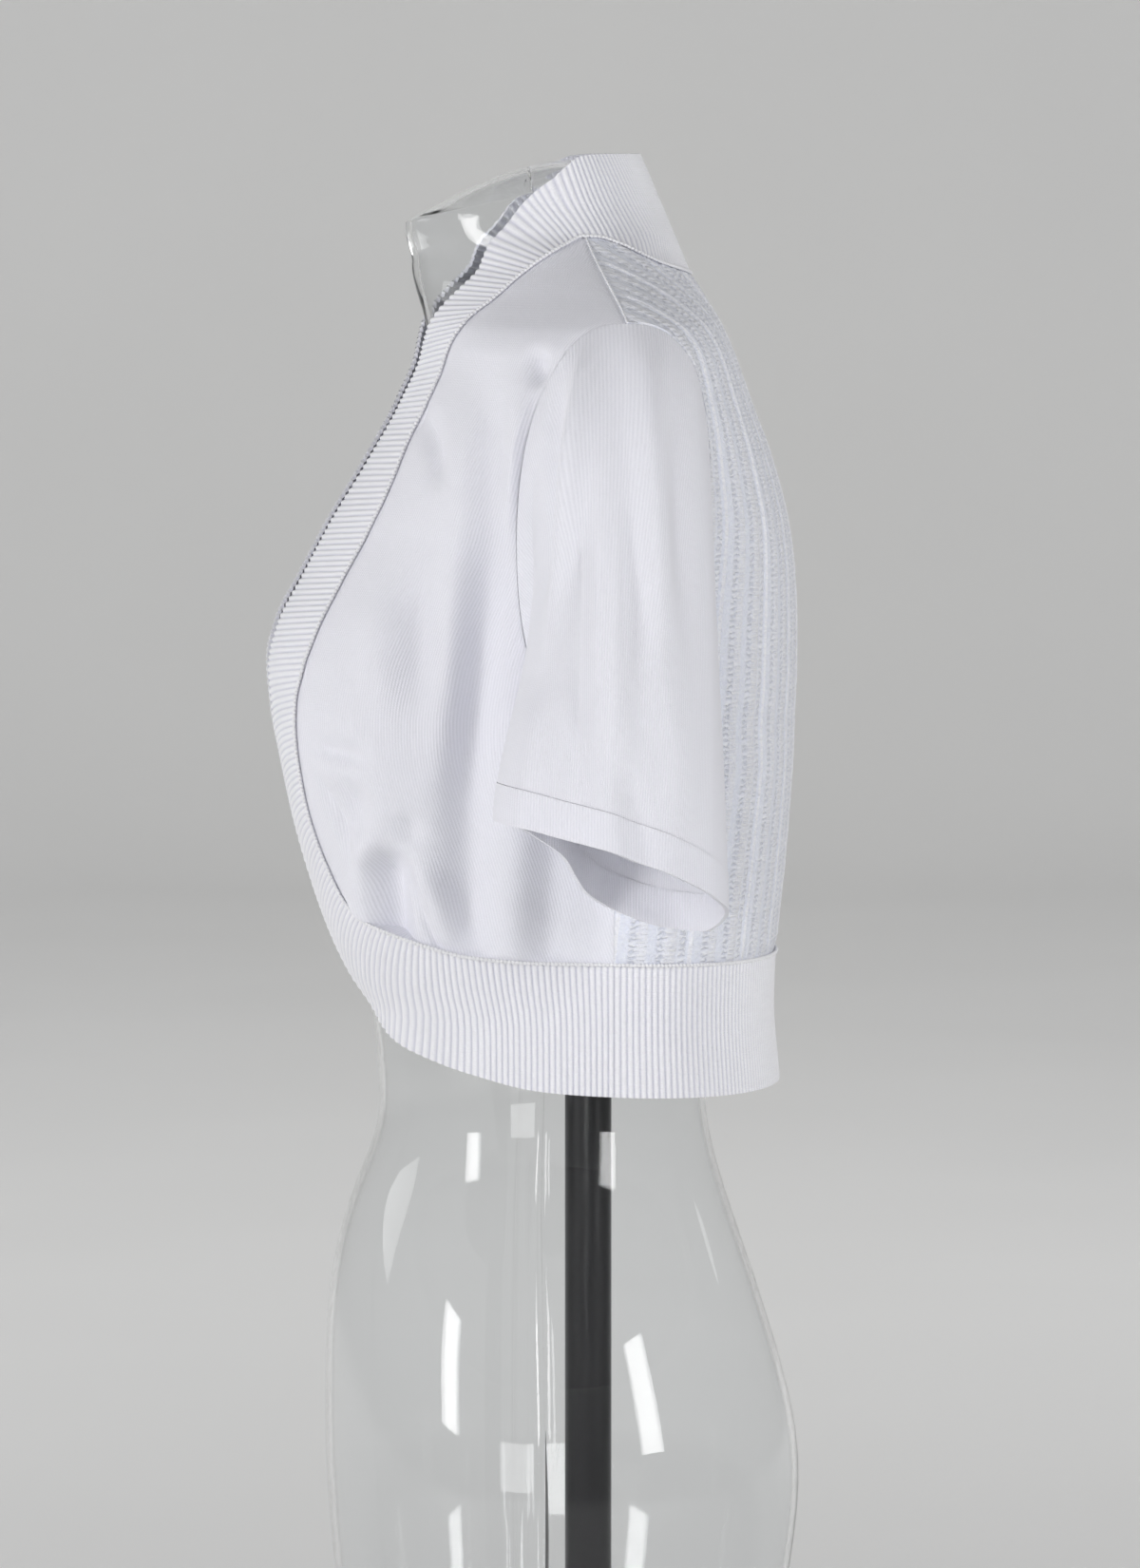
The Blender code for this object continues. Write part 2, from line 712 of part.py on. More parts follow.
def sleeve_relief(turn, share):
    relief = 0.0
    for fold in SLEEVE_FOLDS:
        apart = abs((turn - fold.turn + 180) % 360 - 180)
        across = exp(-((apart / fold.width) ** 2))
        relief += fold.depth * across * fold_share(share, fold.start, fold.end)
    return relief


def sleeve_strand(turn, armhole_turn):
    """One line down the sleeve, from the armhole to the cuff, as a function of a share."""
    low = (1 - cos(radians(armhole_turn))) / 2
    start = on_cloth(armhole_place(armhole_turn, ARMHOLE_INSET), SLEEVE_LIFT * low**0.5)
    end = Vector([smooth_value(CUFF, axis, turn) for axis in "xyz"])
    reach = (end - start).length
    leaves = SLEEVE_LEAVES_TOP.lerp(SLEEVE_LEAVES_UNDERARM, low) * reach
    ends = SLEEVE_ENDS * reach

    def point(share):
        t = share
        return (
            start * (1 + 2 * t) * (1 - t) ** 2
            + end * t * t * (3 - 2 * t)
            + leaves * t * (1 - t) ** 2
            - ends * t * t * (1 - t)
        )

    return point, reach


def tube_normals(rings):
    """Outward directions for rings of points that run round and down a sleeve."""
    normals = []
    for row, ring in enumerate(rings):
        above, below = rings[max(row - 1, 0)], rings[min(row + 1, len(rings) - 1)]
        normals.append(
            [
                (ring[(k + 1) % len(ring)] - ring[k - 1]).cross(below[k] - above[k]).normalized()
                for k in range(len(ring))
            ]
        )
    return normals


def lifted(rings, normals, lift):
    return [
        [point + normal * lift for point, normal in zip(*rows)] for rows in zip(rings, normals)
    ]


def sleeves(jersey, hem_knit):
    """The short sleeves, hanging empty from their armholes, and their turned-up hems."""
    front_at, _ = even_path(armhole_place, 0, 180)
    back_at, _ = even_path(armhole_place, 360, 180)
    armhole_turns = [front_at(k / ARMHOLE_ROWS) for k in range(ARMHOLE_ROWS)]
    armhole_turns += [back_at(1 - k / ARMHOLE_ROWS) for k in range(ARMHOLE_ROWS)]
    turns = [360 * k / len(armhole_turns) for k in range(len(armhole_turns))]
    strands = [sleeve_strand(*pair) for pair in zip(turns, armhole_turns)]

    def rings(first_length, last_length, count):
        """Rings between two distances above the rim. None stands for the armhole."""
        grid = []
        for row in range(count + 1):
            ring = []
            for turn, (point, reach) in zip(turns, strands):
                first = 0.0 if first_length is None else 1 - first_length / reach
                share = first + (1 - last_length / reach - first) * row / count
                ring.append((point(share), sleeve_relief(turn, share)))
            grid.append(ring)
        points = [[point for point, _ in ring] for ring in grid]
        normals = tube_normals(points)
        folded = [
            [point + normal * relief for (point, relief), normal in zip(*rows)]
            for rows in zip(grid, normals)
        ]
        return folded, normals

    folded, normals = rings(None, SLEEVE_HEM + SEAM_GAP, SLEEVE_ROWS)
    for k, armhole_turn in enumerate(armhole_turns):
        low = (1 - cos(radians(armhole_turn))) / 2
        square_to_body = body_normal(CLOTH, *armhole_place(armhole_turn))
        normals[0][k] = square_to_body.lerp(normals[0][k], low).normalized()
    lining = lifted(folded, normals, -JERSEY_WALL)
    round_wall("sleeve_left", folded, lining, jersey)
    round_wall("sleeve_right", mirrored(folded), mirrored(lining), jersey)

    folded, normals = rings(SLEEVE_HEM, 0.0, HEM_ROWS)
    outside = lifted(folded, normals, HEM_PROUD)
    lining = lifted(folded, normals, HEM_PROUD - HEM_WALL)
    round_wall("sleeve_hem_left", outside, lining, hem_knit)
    round_wall("sleeve_hem_right", mirrored(outside), mirrored(lining), hem_knit)


def form_point(angle, height, wall):
    """A point on the form, wall under its surface. The top of the neck leans towards the front."""
    point = body_point(FORM, angle, height) - wall * body_normal(FORM, angle, height)
    lean = (height - NECK_LEAN_START) / (FORM[-1].height - NECK_LEAN_START)
    point.z += NECK_CAP_SLOPE * (point.y - FORM_JOIN_Y) * max(0.0, lean)
    return point


def cap_height(x, y, wall):
    """The height of the neck's domed cap above a point on the floor, wall under its surface."""
    rim = FORM[-1]
    reach = (rim.front if y < FORM_JOIN_Y else rim.back) - FORM_JOIN_Y
    out = (x / rim.half_width) ** 2 + ((y - FORM_JOIN_Y) / reach) ** 2
    slope = NECK_CAP_SLOPE * (y - FORM_JOIN_Y)
    return rim.height + slope + NECK_CAP_CROWN * (1 - min(out, 1)) - wall


def form_half(name, centre_angle, away, material):
    """One moulded half of the clear dress form, open below and closed over the neck."""
    angles = [centre_angle - 90 + 180 * k / FORM_COLUMNS for k in range(FORM_COLUMNS + 1)]
    rim = FORM[-1].height

    def grid(wall):
        rows = [[form_point(angle, height, wall) for angle in angles] for height in FORM_HEIGHTS]
        for row in range(1, CAP_ROWS + 1):
            share = 1 - row / CAP_ROWS
            ring = []
            for angle in angles:
                edge = body_point(FORM, angle, rim) - wall * body_normal(FORM, angle, rim)
                x = edge.x * share
                y = FORM_JOIN_Y + (edge.y - FORM_JOIN_Y) * share
                ring.append(Vector((x, y, cap_height(x, y, wall))))
            rows.append(ring)
        shift = Vector((0, away * SEAM_GAP / 2, 0))
        return [[point + shift for point in row] for row in rows]

    open_wall(name, grid(0.0), grid(FORM_WALL), material)


def turned(name, profile, sides, material):
    """A solid turned round the pole's axis from (radius, height) points."""
    mesh = bmesh.new()
    points = [mesh.verts.new((radius, 0, height)) for radius, height in profile]
    closed = profile[0][0] > 0
    pairs = list(zip(points, points[1:]))
    if closed:
        pairs.append((points[-1], points[0]))
    edges = [mesh.edges.new(pair) for pair in pairs]
    bmesh.ops.spin(
        mesh, geom=points + edges, cent=(0, 0, 0), axis=(0, 0, 1), angle=2 * pi, steps=sides
    )
    bmesh.ops.remove_doubles(mesh, verts=mesh.verts, dist=0.001)
    return mesh


def stand(black):
    """The pole that carries the form under its neck cap, with a foot flange and a round base."""
    foot = BASE_HEIGHT + SEAM_GAP
    top = cap_height(0, 0, FORM_WALL) - SPIGOT_GAP
    pole = turned(
        "pole",
        [
            (0, foot),
            (POLE_RADIUS - EDGE_BEVEL, foot),
            (POLE_RADIUS, foot + EDGE_BEVEL),
            (POLE_RADIUS, SPIGOT_START - EDGE_BEVEL),
            (POLE_RADIUS - EDGE_BEVEL, SPIGOT_START),
            (SPIGOT_RADIUS, SPIGOT_START),
            (SPIGOT_RADIUS, top),
            (0, top),
        ],
        POLE_SIDES,
        black,
    )
    for vertex in pole.verts:
        if vertex.co.z > top - EDGE_BEVEL:
            vertex.co.z = cap_height(vertex.co.x, vertex.co.y, FORM_WALL) - SPIGOT_GAP
    add_piece("pole", pole, black)
    bore = POLE_RADIUS + SEAM_GAP
    flange = turned(
        "pole_flange",
        [
            (bore, foot),
            (FLANGE_RADIUS, foot),
            (FLANGE_RADIUS, foot + 4),
            (bore + 4, foot + FLANGE_HEIGHT),
            (bore, foot + FLANGE_HEIGHT),
        ],
        POLE_SIDES,
        black,
    )
    add_piece("pole_flange", flange, black)
    base = turned(
        "base_plate",
        [
            (0, 0),
            (BASE_RADIUS - EDGE_BEVEL, 0),
            (BASE_RADIUS, EDGE_BEVEL),
            (BASE_RADIUS, BASE_HEIGHT - EDGE_BEVEL),
            (BASE_RADIUS - EDGE_BEVEL, BASE_HEIGHT),
            (0, BASE_HEIGHT),
        ],
        BASE_SIDES,
        black,
    )
    add_piece("base_plate", base, black)


def main():
    for thing in list(bpy.data.objects):
        bpy.data.objects.remove(thing, do_unlink=True)
    jersey = finish("white_jersey", (0.80, 0.80, 0.87), 0.75)
    lace = finish("pale_lace_knit", (0.76, 0.79, 0.88), 0.85)
    rib = finish("white_rib_knit", (0.82, 0.82, 0.88), 0.8)
    clear = finish("clear_plastic", (0.93, 0.95, 0.96), 0.06, clear=0.9)
    black = finish("black_lacquer", (0.012, 0.012, 0.014), 0.35)
    front_panels(jersey)
    back_panel(lace)
    front_bands(rib)
    hem_band(rib)
    sleeves(jersey, jersey)
    form_half("form_front", 0, -1, clear)
    form_half("form_back", 180, 1, clear)
    stand(black)


main()
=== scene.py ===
from collections import namedtuple
from math import cos, pi, radians, sin, tau

import bmesh
import bpy
import numpy as np
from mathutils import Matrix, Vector


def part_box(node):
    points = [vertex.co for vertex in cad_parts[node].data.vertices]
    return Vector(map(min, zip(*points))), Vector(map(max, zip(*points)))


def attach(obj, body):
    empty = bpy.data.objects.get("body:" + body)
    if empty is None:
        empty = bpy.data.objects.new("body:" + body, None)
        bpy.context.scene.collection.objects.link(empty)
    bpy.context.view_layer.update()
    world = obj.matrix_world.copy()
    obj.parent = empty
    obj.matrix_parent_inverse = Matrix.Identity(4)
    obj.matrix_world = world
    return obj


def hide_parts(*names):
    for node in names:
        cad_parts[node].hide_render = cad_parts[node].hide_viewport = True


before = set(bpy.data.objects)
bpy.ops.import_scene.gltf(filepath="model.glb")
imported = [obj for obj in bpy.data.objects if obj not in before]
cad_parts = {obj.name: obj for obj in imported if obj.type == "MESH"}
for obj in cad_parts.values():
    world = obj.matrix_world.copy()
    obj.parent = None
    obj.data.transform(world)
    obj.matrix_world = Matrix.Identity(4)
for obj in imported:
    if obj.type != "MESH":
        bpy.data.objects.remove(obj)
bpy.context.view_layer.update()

# Sizes and tables are in millimetres and degrees, and meshes are scaled to metres as they are made.
# The wearer faces -Y and the wearer's left side is +X. An angle is measured round the body: 0 is
# the front centre, 90 the left side and 180 the back centre.

# ---- The two fronts ----------------------------------------------------------------------------
# Each front is one panel of smooth fine jersey, cut to a curve at its front and lower edges and
# linked to the rib band there. It goes over the shoulder to a seam just behind the ridge. The
# cloth hangs from the bust, so it has soft upright folds and a few short creases by the band.

MM = 0.001
WELD = 0.01
JERSEY_THICKNESS = 1.4
WALE_PITCH = 1.5
COURSE_PITCH = 1.1
JERSEY_YARN = 0.9
# The jersey's two colours are the painted shade in the grooves between its wales and the lit tops
# of the wales.
JERSEY_SHADED_AND_LIT_COLOURS = (0.755, 0.755, 0.82), (0.87, 0.87, 0.935)
SEAM_DIP = 0.3
SEAM_ROWS = 3
FOLD_DEPTH = 1.7
FOLD_FADE = 0.45

# The cloth's level sections. front and back are its reach on the centre line.
Section = namedtuple("Section", "height half_width middle front back front_square back_square")
CLOTH = [
    Section(484, 138, 5, -106, 94, 3.2, 2.4),
    Section(523, 138, 5, -113, 91, 3.4, 2.4),
    Section(540, 138, 5, -122, 91.5, 3.5, 2.4),
    Section(562, 138.5, 5, -131.5, 93, 3.6, 2.4),
    Section(590, 140, 5, -141, 96, 3.4, 2.4),
    Section(614, 142, 5, -147.5, 98, 3.5, 2.4),
    Section(643, 145, 5, -153.5, 100, 3.6, 2.4),
    Section(667, 147, 5, -158, 101, 3.3, 2.3),
    Section(691, 149, 5, -160, 102, 2.8, 2.3),
    Section(710, 150, 5, -156, 102, 2.6, 2.3),
    Section(734, 154, 5, -144, 101, 2.4, 2.3),
    Section(758, 160, 5, -131.5, 98, 2.2, 2.3),
    Section(790, 169, 6, -112, 90, 2.2, 2.2),
    Section(820, 178, 8, -95.5, 79, 2.1, 2.1),
    Section(845, 180, 10, -86.5, 70, 1.95, 2.0),
    Section(857, 173, 10, -86, 65, 1.8, 1.9),
    Section(865, 160, 8, -86.5, 61, 1.6, 1.75),
    Section(875, 137, 4, -87, 55, 1.42, 1.6),
    Section(885, 110, 0, -88.5, 49, 1.38, 1.5),
    Section(893, 88, -3, -89.5, 46, 1.6, 1.6),
    Section(902, 70, -6, -91, 42, 2.0, 2.0),
    Section(920, 60, -16, -93, 34.5, 2.0, 2.0),
    Section(942, 57, -24, -97, 25, 2.0, 2.0),
]

# Where the rib band's seam and its free edge lie, from the back of the neck down the left front
# and round the hem to the back centre.
BandLine = namedtuple("BandLine", "station seam_angle seam_height edge_angle edge_height")
BAND = [
    BandLine(0, 180, 883, 180, 942),
    BandLine(1, 165.5, 885, 158, 942),
    BandLine(2, 135, 890, 130, 942),
    BandLine(3, 110.5, 898, 111, 941),
    BandLine(4, 99, 901.5, 100, 936.5),
    BandLine(5, 90, 902, 88, 929),
    BandLine(6, 83, 898, 77, 920),
    BandLine(7, 74.5, 892.5, 62, 904),
    BandLine(8, 58.5, 882, 40.5, 885),
    BandLine(9, 45, 871, 24, 871),
    BandLine(10, 35.5, 861, 15, 856),
    BandLine(11, 29, 841, 11, 836),
    BandLine(12, 29, 812, 9.5, 809),
    BandLine(13, 31.5, 788, 9.5, 785),
    BandLine(14, 33, 770, 9.5, 766),
    BandLine(15, 33.5, 741, 10.5, 737),
    BandLine(16, 34.5, 713, 11, 708),
    BandLine(17, 34, 693, 11, 687),
    BandLine(18, 33, 677, 12, 668),
    BandLine(19, 33, 657, 12, 646),
    BandLine(20, 32.5, 627, 12.5, 612),
    BandLine(21, 33.5, 608, 14.5, 584),
    BandLine(22, 36.5, 584, 18.5, 554),
    BandLine(23, 41.5, 571, 25.5, 531),
    BandLine(24, 48, 565, 34.5, 513),
    BandLine(25, 54, 560, 47, 504),
    BandLine(26, 61, 555, 58, 497),
    BandLine(27, 73, 552, 71.5, 490),
    BandLine(28, 90, 551, 90, 487),
    BandLine(29, 135, 549, 135, 485),
    BandLine(30, 180, 547, 180, 484),
]
NECK_STATION = 5
CORNER_STATION = 24
SIDE_STATION = 28
BACK_STATION = 30

# The armhole is an upright oval on the side of the body.
ARMHOLE_HEIGHT = 762.0
ARMHOLE_HALF_HEIGHT = 100.0
ARMHOLE_FRONT = 48.0
ARMHOLE_BACK = 45.0
ARMHOLE_SQUARE = 2.5
NECK_HEIGHT = 902.0
SHOULDER_TIP_HEIGHT = ARMHOLE_HEIGHT + ARMHOLE_HALF_HEIGHT
UNDERARM_HEIGHT = ARMHOLE_HEIGHT - ARMHOLE_HALF_HEIGHT
SIDE_ANGLE = 90.0

# Folds in the fronts, as seen from the side: y runs backwards and z up. bow bends a fold's middle
# backwards, a negative depth is a trough, and the last column fades a fold at its lower end.
Fold = namedtuple("Fold", "top_y top_z low_y low_z bow depth width open_end")
FRONT_FOLDS = [
    Fold(-63, 836, -84, 606, 3, 4.2, 10, 0),
    Fold(-52, 800, -66, 575, -4, -5.0, 12, 1),
    Fold(-90, 752, -92, 668, 3, -2.2, 9, 0),
    Fold(-104, 742, -104, 660, -4, 1.8, 10, 0),
    Fold(-149, 662, -108, 650, -3, -3.4, 6, 0),
    Fold(-147, 658, -114, 579, 3, -1.5, 2.2, 0),
    Fold(-130, 650, -116, 600, 2, -3.6, 7, 0),
    Fold(-112, 632, -115, 578, -2, 3.0, 7, 1),
    Fold(-105, 612, -103, 566, 0, -7.0, 9, 1),
    Fold(-101, 607, -84, 566, 1, -1.7, 2.6, 1),
    Fold(-95, 606, -74, 566, 2, 2.8, 8, 1),
    Fold(-95, 629, -92, 606, 0, -1.6, 6, 0),
    Fold(-85, 824, -80, 776, 2, -2.8, 5, 0),
    Fold(-58, 850, -57, 760, 2, -3.2, 9, 0),
    Fold(-44, 852, -41, 735, 1, 2.8, 8, 0),
    Fold(-34, 853, -31, 828, 0, -3.0, 4.5, 0),
    Fold(-40, 690, -44, 566, 3, 2.4, 13, 1),
    Fold(-24, 650, -28, 562, 0, -2.4, 11, 1),
]


def smooth_column(rows, column, at):
    """Reads a table's column between its rows, on a smooth curve that never overshoots them."""
    places = np.array([row[0] for row in rows], float)
    values = np.array([getattr(row, column) for row in rows], float)
    steps = np.diff(places)
    rises = np.diff(values) / steps
    before, after = rises[:-1], rises[1:]
    same_way = before * after > 0
    total = np.where(same_way, before + after, 1.0)
    slopes = np.concatenate(
        ([rises[0]], np.where(same_way, 2 * before * after / total, 0.0), [rises[-1]])
    )
    at = np.clip(at, places[0], places[-1])
    low = np.clip(np.searchsorted(places, at, side="right") - 1, 0, len(places) - 2)
    t = (at - places[low]) / steps[low]
    return (
        values[low]
        + (values[low + 1] - values[low]) * t * t * (3 - 2 * t)
        + slopes[low] * steps[low] * t * (1 - t) ** 2
        - slopes[low + 1] * steps[low] * t * t * (1 - t)
    )


def cloth_point(angle, height):
    """Points on the worn cloth, at angles round the body and heights."""
    across, along = np.sin(np.radians(angle)), np.cos(np.radians(angle))
    ahead = along > 0
    middle = smooth_column(CLOTH, "middle", height)
    reach = [smooth_column(CLOTH, side, height) for side in ("front", "back")]
    squares = [smooth_column(CLOTH, side, height) for side in ("front_square", "back_square")]
    square = np.where(ahead, *squares)
    out = (np.abs(across) ** square + np.abs(along) ** square) ** (-1 / square)
    x = smooth_column(CLOTH, "half_width", height) * across * out
    y = middle + (np.where(ahead, *reach) - middle) * np.abs(along) * out
    return np.stack((x, y, np.broadcast_to(height, x.shape)), axis=-1)


def unit(vectors):
    return vectors / np.maximum(np.linalg.norm(vectors, axis=-1, keepdims=True), 1e-9)


def cloth_normal(angle, height):
    round_body = cloth_point(angle + 1, height) - cloth_point(angle - 1, height)
    up_body = cloth_point(angle, height + 1) - cloth_point(angle, height - 1)
    return unit(np.cross(round_body, up_body))


def side_place(height):
    """The line down the wearer's side, from the neck over the shoulder and under the arm."""
    return np.full_like(height, SIDE_ANGLE), height


def seam_place(station):
    return (
        smooth_column(BAND, "seam_angle", station),
        smooth_column(BAND, "seam_height", station),
    )


def armhole_place(turn, inset=0.0):
    """The armhole's edge. turn is 0 at the shoulder, 90 in front and 180 at the underarm."""
    up, forward = np.cos(np.radians(turn)), np.sin(np.radians(turn))
    power = 2 / ARMHOLE_SQUARE
    half = ARMHOLE_HALF_HEIGHT - inset
    height = ARMHOLE_HEIGHT + half * np.sign(up) * np.abs(up) ** power
    reach = np.where(forward > 0, ARMHOLE_FRONT, ARMHOLE_BACK) - inset
    middle = smooth_column(CLOTH, "middle", height)
    y = middle - reach * np.sign(forward) * np.abs(forward) ** power
    low, high = np.zeros_like(height), np.full_like(height, 180.0)
    # Halving finds the angle at which the cloth reaches y.
    for _ in range(40):
        guess = (low + high) / 2
        ahead = cloth_point(guess, height)[..., 1] < y
        low, high = np.where(ahead, guess, low), np.where(ahead, high, guess)
    return (low + high) / 2, height


PATH_STOPS = 600


def evenly(place_at, start, end, count):
    """Stops along a path on the cloth, the same distance apart, and the path's length."""
    stops = np.linspace(start, end, PATH_STOPS)
    steps = np.linalg.norm(np.diff(cloth_point(*place_at(stops)), axis=0), axis=1)
    lengths = np.concatenate(([0.0], np.cumsum(steps)))
    return np.interp(np.linspace(0, lengths[-1], count + 1), lengths, stops), lengths[-1]


# The cloth laid flat: across is the distance round the body from the centre line, up the height.
HEIGHTS = np.arange(CLOTH[0].height, CLOTH[-1].height + 1, 1.0)
CENTRE_ANGLE = {"front": 0.0, "back": 180.0}
FLAT_STEPS = 180
across_at, angle_at = {}, {}
for half, centre in CENTRE_ANGLE.items():
    angles = np.linspace(centre, SIDE_ANGLE, FLAT_STEPS + 1)
    steps = np.diff(cloth_point(*np.meshgrid(angles, HEIGHTS)), axis=1)
    lengths = np.cumsum(np.linalg.norm(steps, axis=2), axis=1)
    across_at[half] = np.hstack((np.zeros((len(HEIGHTS), 1)), lengths))
    shares = np.linspace(0, 1, FLAT_STEPS + 1)
    angle_at[half] = np.array([np.interp(shares * row[-1], row, angles) for row in across_at[half]])


def read_table(table, height, share):
    """A value between a table's rows, one a millimetre of height, and its evenly spaced columns."""
    row = np.clip(height - HEIGHTS[0], 0, len(HEIGHTS) - 1.001)
    column = np.clip(share, 0, 1) * (table.shape[1] - 1.001)
    r, c = row.astype(int), column.astype(int)
    up, along = row - r, column - c
    low = table[r, c] * (1 - along) + table[r, c + 1] * along
    high = table[r + 1, c] * (1 - along) + table[r + 1, c + 1] * along
    return low * (1 - up) + high * up


def flat(half, place):
    """Flat points, across and up, for places on one half of the cloth."""
    angle, height = place
    share = (angle - CENTRE_ANGLE[half]) / (SIDE_ANGLE - CENTRE_ANGLE[half])
    return np.stack((read_table(across_at[half], height, share), height), axis=-1)


def worn(half, flat_points):
    """Places on the cloth for flat points, on the wearer's left side."""
    across, height = np.abs(flat_points[..., 0]), flat_points[..., 1]
    whole = read_table(across_at[half], height, np.ones_like(height))
    return read_table(angle_at[half], height, across / whole), height


def patch(bottom, top, left, right):
    """Fills four edges of flat points with a grid."""
    u = np.linspace(0, 1, len(bottom))[None, :, None]
    v = np.linspace(0, 1, len(left))[:, None, None]
    corners = (
        (1 - u) * (1 - v) * bottom[0]
        + u * (1 - v) * bottom[-1]
        + (1 - u) * v * top[0]
        + u * v * top[-1]
    )
    sides = left[:, None] * (1 - u) + right[:, None] * u
    ends = bottom[None] * (1 - v) + top[None] * v
    return sides + ends - corners


def fold_relief(folds, y, z):
    """How far a table of folds lifts the cloth at points seen from the side."""
    relief = np.zeros_like(y)
    for fold in folds:
        run_y, run_z = fold.low_y - fold.top_y, fold.low_z - fold.top_z
        reach = np.hypot(run_y, run_z)
        along = ((y - fold.top_y) * run_y + (z - fold.top_z) * run_z) / reach**2
        aside = ((y - fold.top_y) * -run_z + (z - fold.top_z) * run_y) / reach
        inside = np.clip(along, 0, 1)
        aside = aside - fold.bow * 4 * inside * (1 - inside)
        start = np.sin(pi / 2 * np.clip(along / FOLD_FADE, 0, 1)) ** 2
        end = np.sin(pi / 2 * np.clip((1 - along) / FOLD_FADE, 0, 1)) ** 2
        if fold.open_end:
            end = np.ones_like(end)
        relief += fold.depth * start * end * np.exp(-((aside / fold.width) ** 2))
    return relief


def grid_lift(shape, edges=(1, 1, 1, 1)):
    """1 inside a grid, and 0 on those edges (bottom, top, left, right) that are held by a seam."""
    rows, columns = shape
    row = np.arange(rows)[:, None] / SEAM_ROWS
    column = np.arange(columns)[None, :] / SEAM_ROWS
    distances = (row, row[::-1], column, column[:, ::-1])
    lift = np.ones(shape)
    for held, distance in zip(edges, distances):
        if held:
            lift = lift * np.clip(distance, 0, 1)
    return lift


def tube_normals(points):
    """Directions out of a tube's grid: rows up, columns to the right and once round."""
    wrapped = np.concatenate((points[:, -2:-1], points, points[:, 1:2]), axis=1)
    along = np.gradient(wrapped, axis=1)[:, 1:-1]
    return unit(np.cross(along, np.gradient(points, axis=0)))


def deselect():
    if bpy.context.object and bpy.context.object.mode != "OBJECT":
        bpy.ops.object.mode_set(mode="OBJECT")
    bpy.ops.object.select_all(action="DESELECT")


def apply_modifier(piece, kind, **settings):
    modifier = piece.modifiers.new(kind.title(), kind)
    for name, value in settings.items():
        setattr(modifier, name, value)
    bpy.ops.object.modifier_apply(modifier=modifier.name)


def cloth_grid(name, points, across, up):
    """A grid of points. across and up are the cloth's own flat sizes at each point, which become
    its UV map, in metres."""
    deselect()
    rows, columns = points.shape[0] - 1, points.shape[1] - 1
    bpy.ops.mesh.primitive_grid_add(x_subdivisions=columns, y_subdivisions=rows, size=1)
    grid = bpy.context.object
    grid.name = grid.data.name = name
    grid.data.vertices.foreach_set("co", (points * MM).ravel())
    corners = np.empty(len(grid.data.loops), int)
    grid.data.loops.foreach_get("vertex_index", corners)
    flat_map = np.stack((across, up), axis=-1).reshape(-1, 2)[corners] * MM
    grid.data.uv_layers.active.data.foreach_set("uv", flat_map.ravel())
    return grid


def finish_cloth(sheet, thickness, material):
    """Welds a grid's meeting points, gives it its thickness inwards and its place in the frame."""
    bpy.ops.object.mode_set(mode="EDIT")
    bpy.ops.mesh.select_all(action="SELECT")
    bpy.ops.mesh.remove_doubles(threshold=WELD * MM)
    bpy.ops.object.mode_set(mode="OBJECT")
    apply_modifier(sheet, "SOLIDIFY", thickness=thickness * MM, offset=-1.0)
    bpy.ops.object.shade_smooth_by_angle(angle=radians(60))
    sheet.data.materials.append(material)
    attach(sheet, "root")
    return sheet


def cloth_sheet(name, points, across, up, thickness, material):
    return finish_cloth(cloth_grid(name, points, across, up), thickness, material)


def mirrored(points):
    """The same grid on the other side of the body."""
    return points[:, ::-1] * (-1, 1, 1)


def calc(tree, operation, *values):
    """A Math node. A value is a number or another node's output."""
    node = tree.nodes.new("ShaderNodeMath")
    node.operation = operation
    for socket, value in zip(node.inputs, values):
        if isinstance(value, bpy.types.NodeSocket):
            tree.links.new(value, socket)
        else:
            socket.default_value = value
    return node.outputs[0]


def wave(tree, position, pitch_mm, shift=0.0):
    """A smooth wave from 0 to 1 along a position in metres."""
    turns = calc(tree, "MULTIPLY_ADD", position, tau / (pitch_mm * MM), shift)
    return calc(tree, "MULTIPLY_ADD", calc(tree, "SINE", turns), 0.5, 0.5)


def flat_position(tree):
    """The two outputs across and up of a cloth's own UV map, in metres."""
    uv = tree.nodes.new("ShaderNodeUVMap")
    split = tree.nodes.new("ShaderNodeSeparateXYZ")
    tree.links.new(uv.outputs["UV"], split.inputs[0])
    return split.outputs["X"], split.outputs["Y"], uv.outputs["UV"]


def noise(tree, position, size_mm, detail=3.0):
    node = tree.nodes.new("ShaderNodeTexNoise")
    node.inputs["Scale"].default_value = 1 / (size_mm * MM)
    node.inputs["Detail"].default_value = detail
    tree.links.new(position, node.inputs["Vector"])
    return node.outputs["Fac"]


def blend_colours(tree, share, low, high):
    node = tree.nodes.new("ShaderNodeMix")
    node.data_type = "RGBA"
    tree.links.new(share, node.inputs["Factor"])
    for socket, colour in ((node.inputs["A"], low), (node.inputs["B"], high)):
        if isinstance(colour, bpy.types.NodeSocket):
            tree.links.new(colour, socket)
        else:
            socket.default_value = (*colour, 1.0)
    return node.outputs["Result"]


def new_material(name, roughness, **settings):
    material = bpy.data.materials.new(name)
    material.use_nodes = True
    shader = material.node_tree.nodes["Principled BSDF"]
    shader.inputs["Roughness"].default_value = roughness
    for label, value in settings.items():
        shader.inputs[label.replace("_", " ")].default_value = value
    return material, material.node_tree, shader


def add_bump(tree, shader, height, depth_mm):
    bump = tree.nodes.new("ShaderNodeBump")
    bump.inputs["Distance"].default_value = depth_mm * MM
    bump.inputs["Strength"].default_value = 1.0
    tree.links.new(height, bump.inputs["Height"])
    tree.links.new(bump.outputs["Normal"], shader.inputs["Normal"])


def let_light_through(shader):
    """Thin white knit glows a little on its shaded side."""
    shader.inputs["Subsurface Weight"].default_value = 0.4
    shader.inputs["Subsurface Radius"].default_value = (1.0, 1.0, 1.0)
    shader.inputs["Subsurface Scale"].default_value = 1.8 * MM


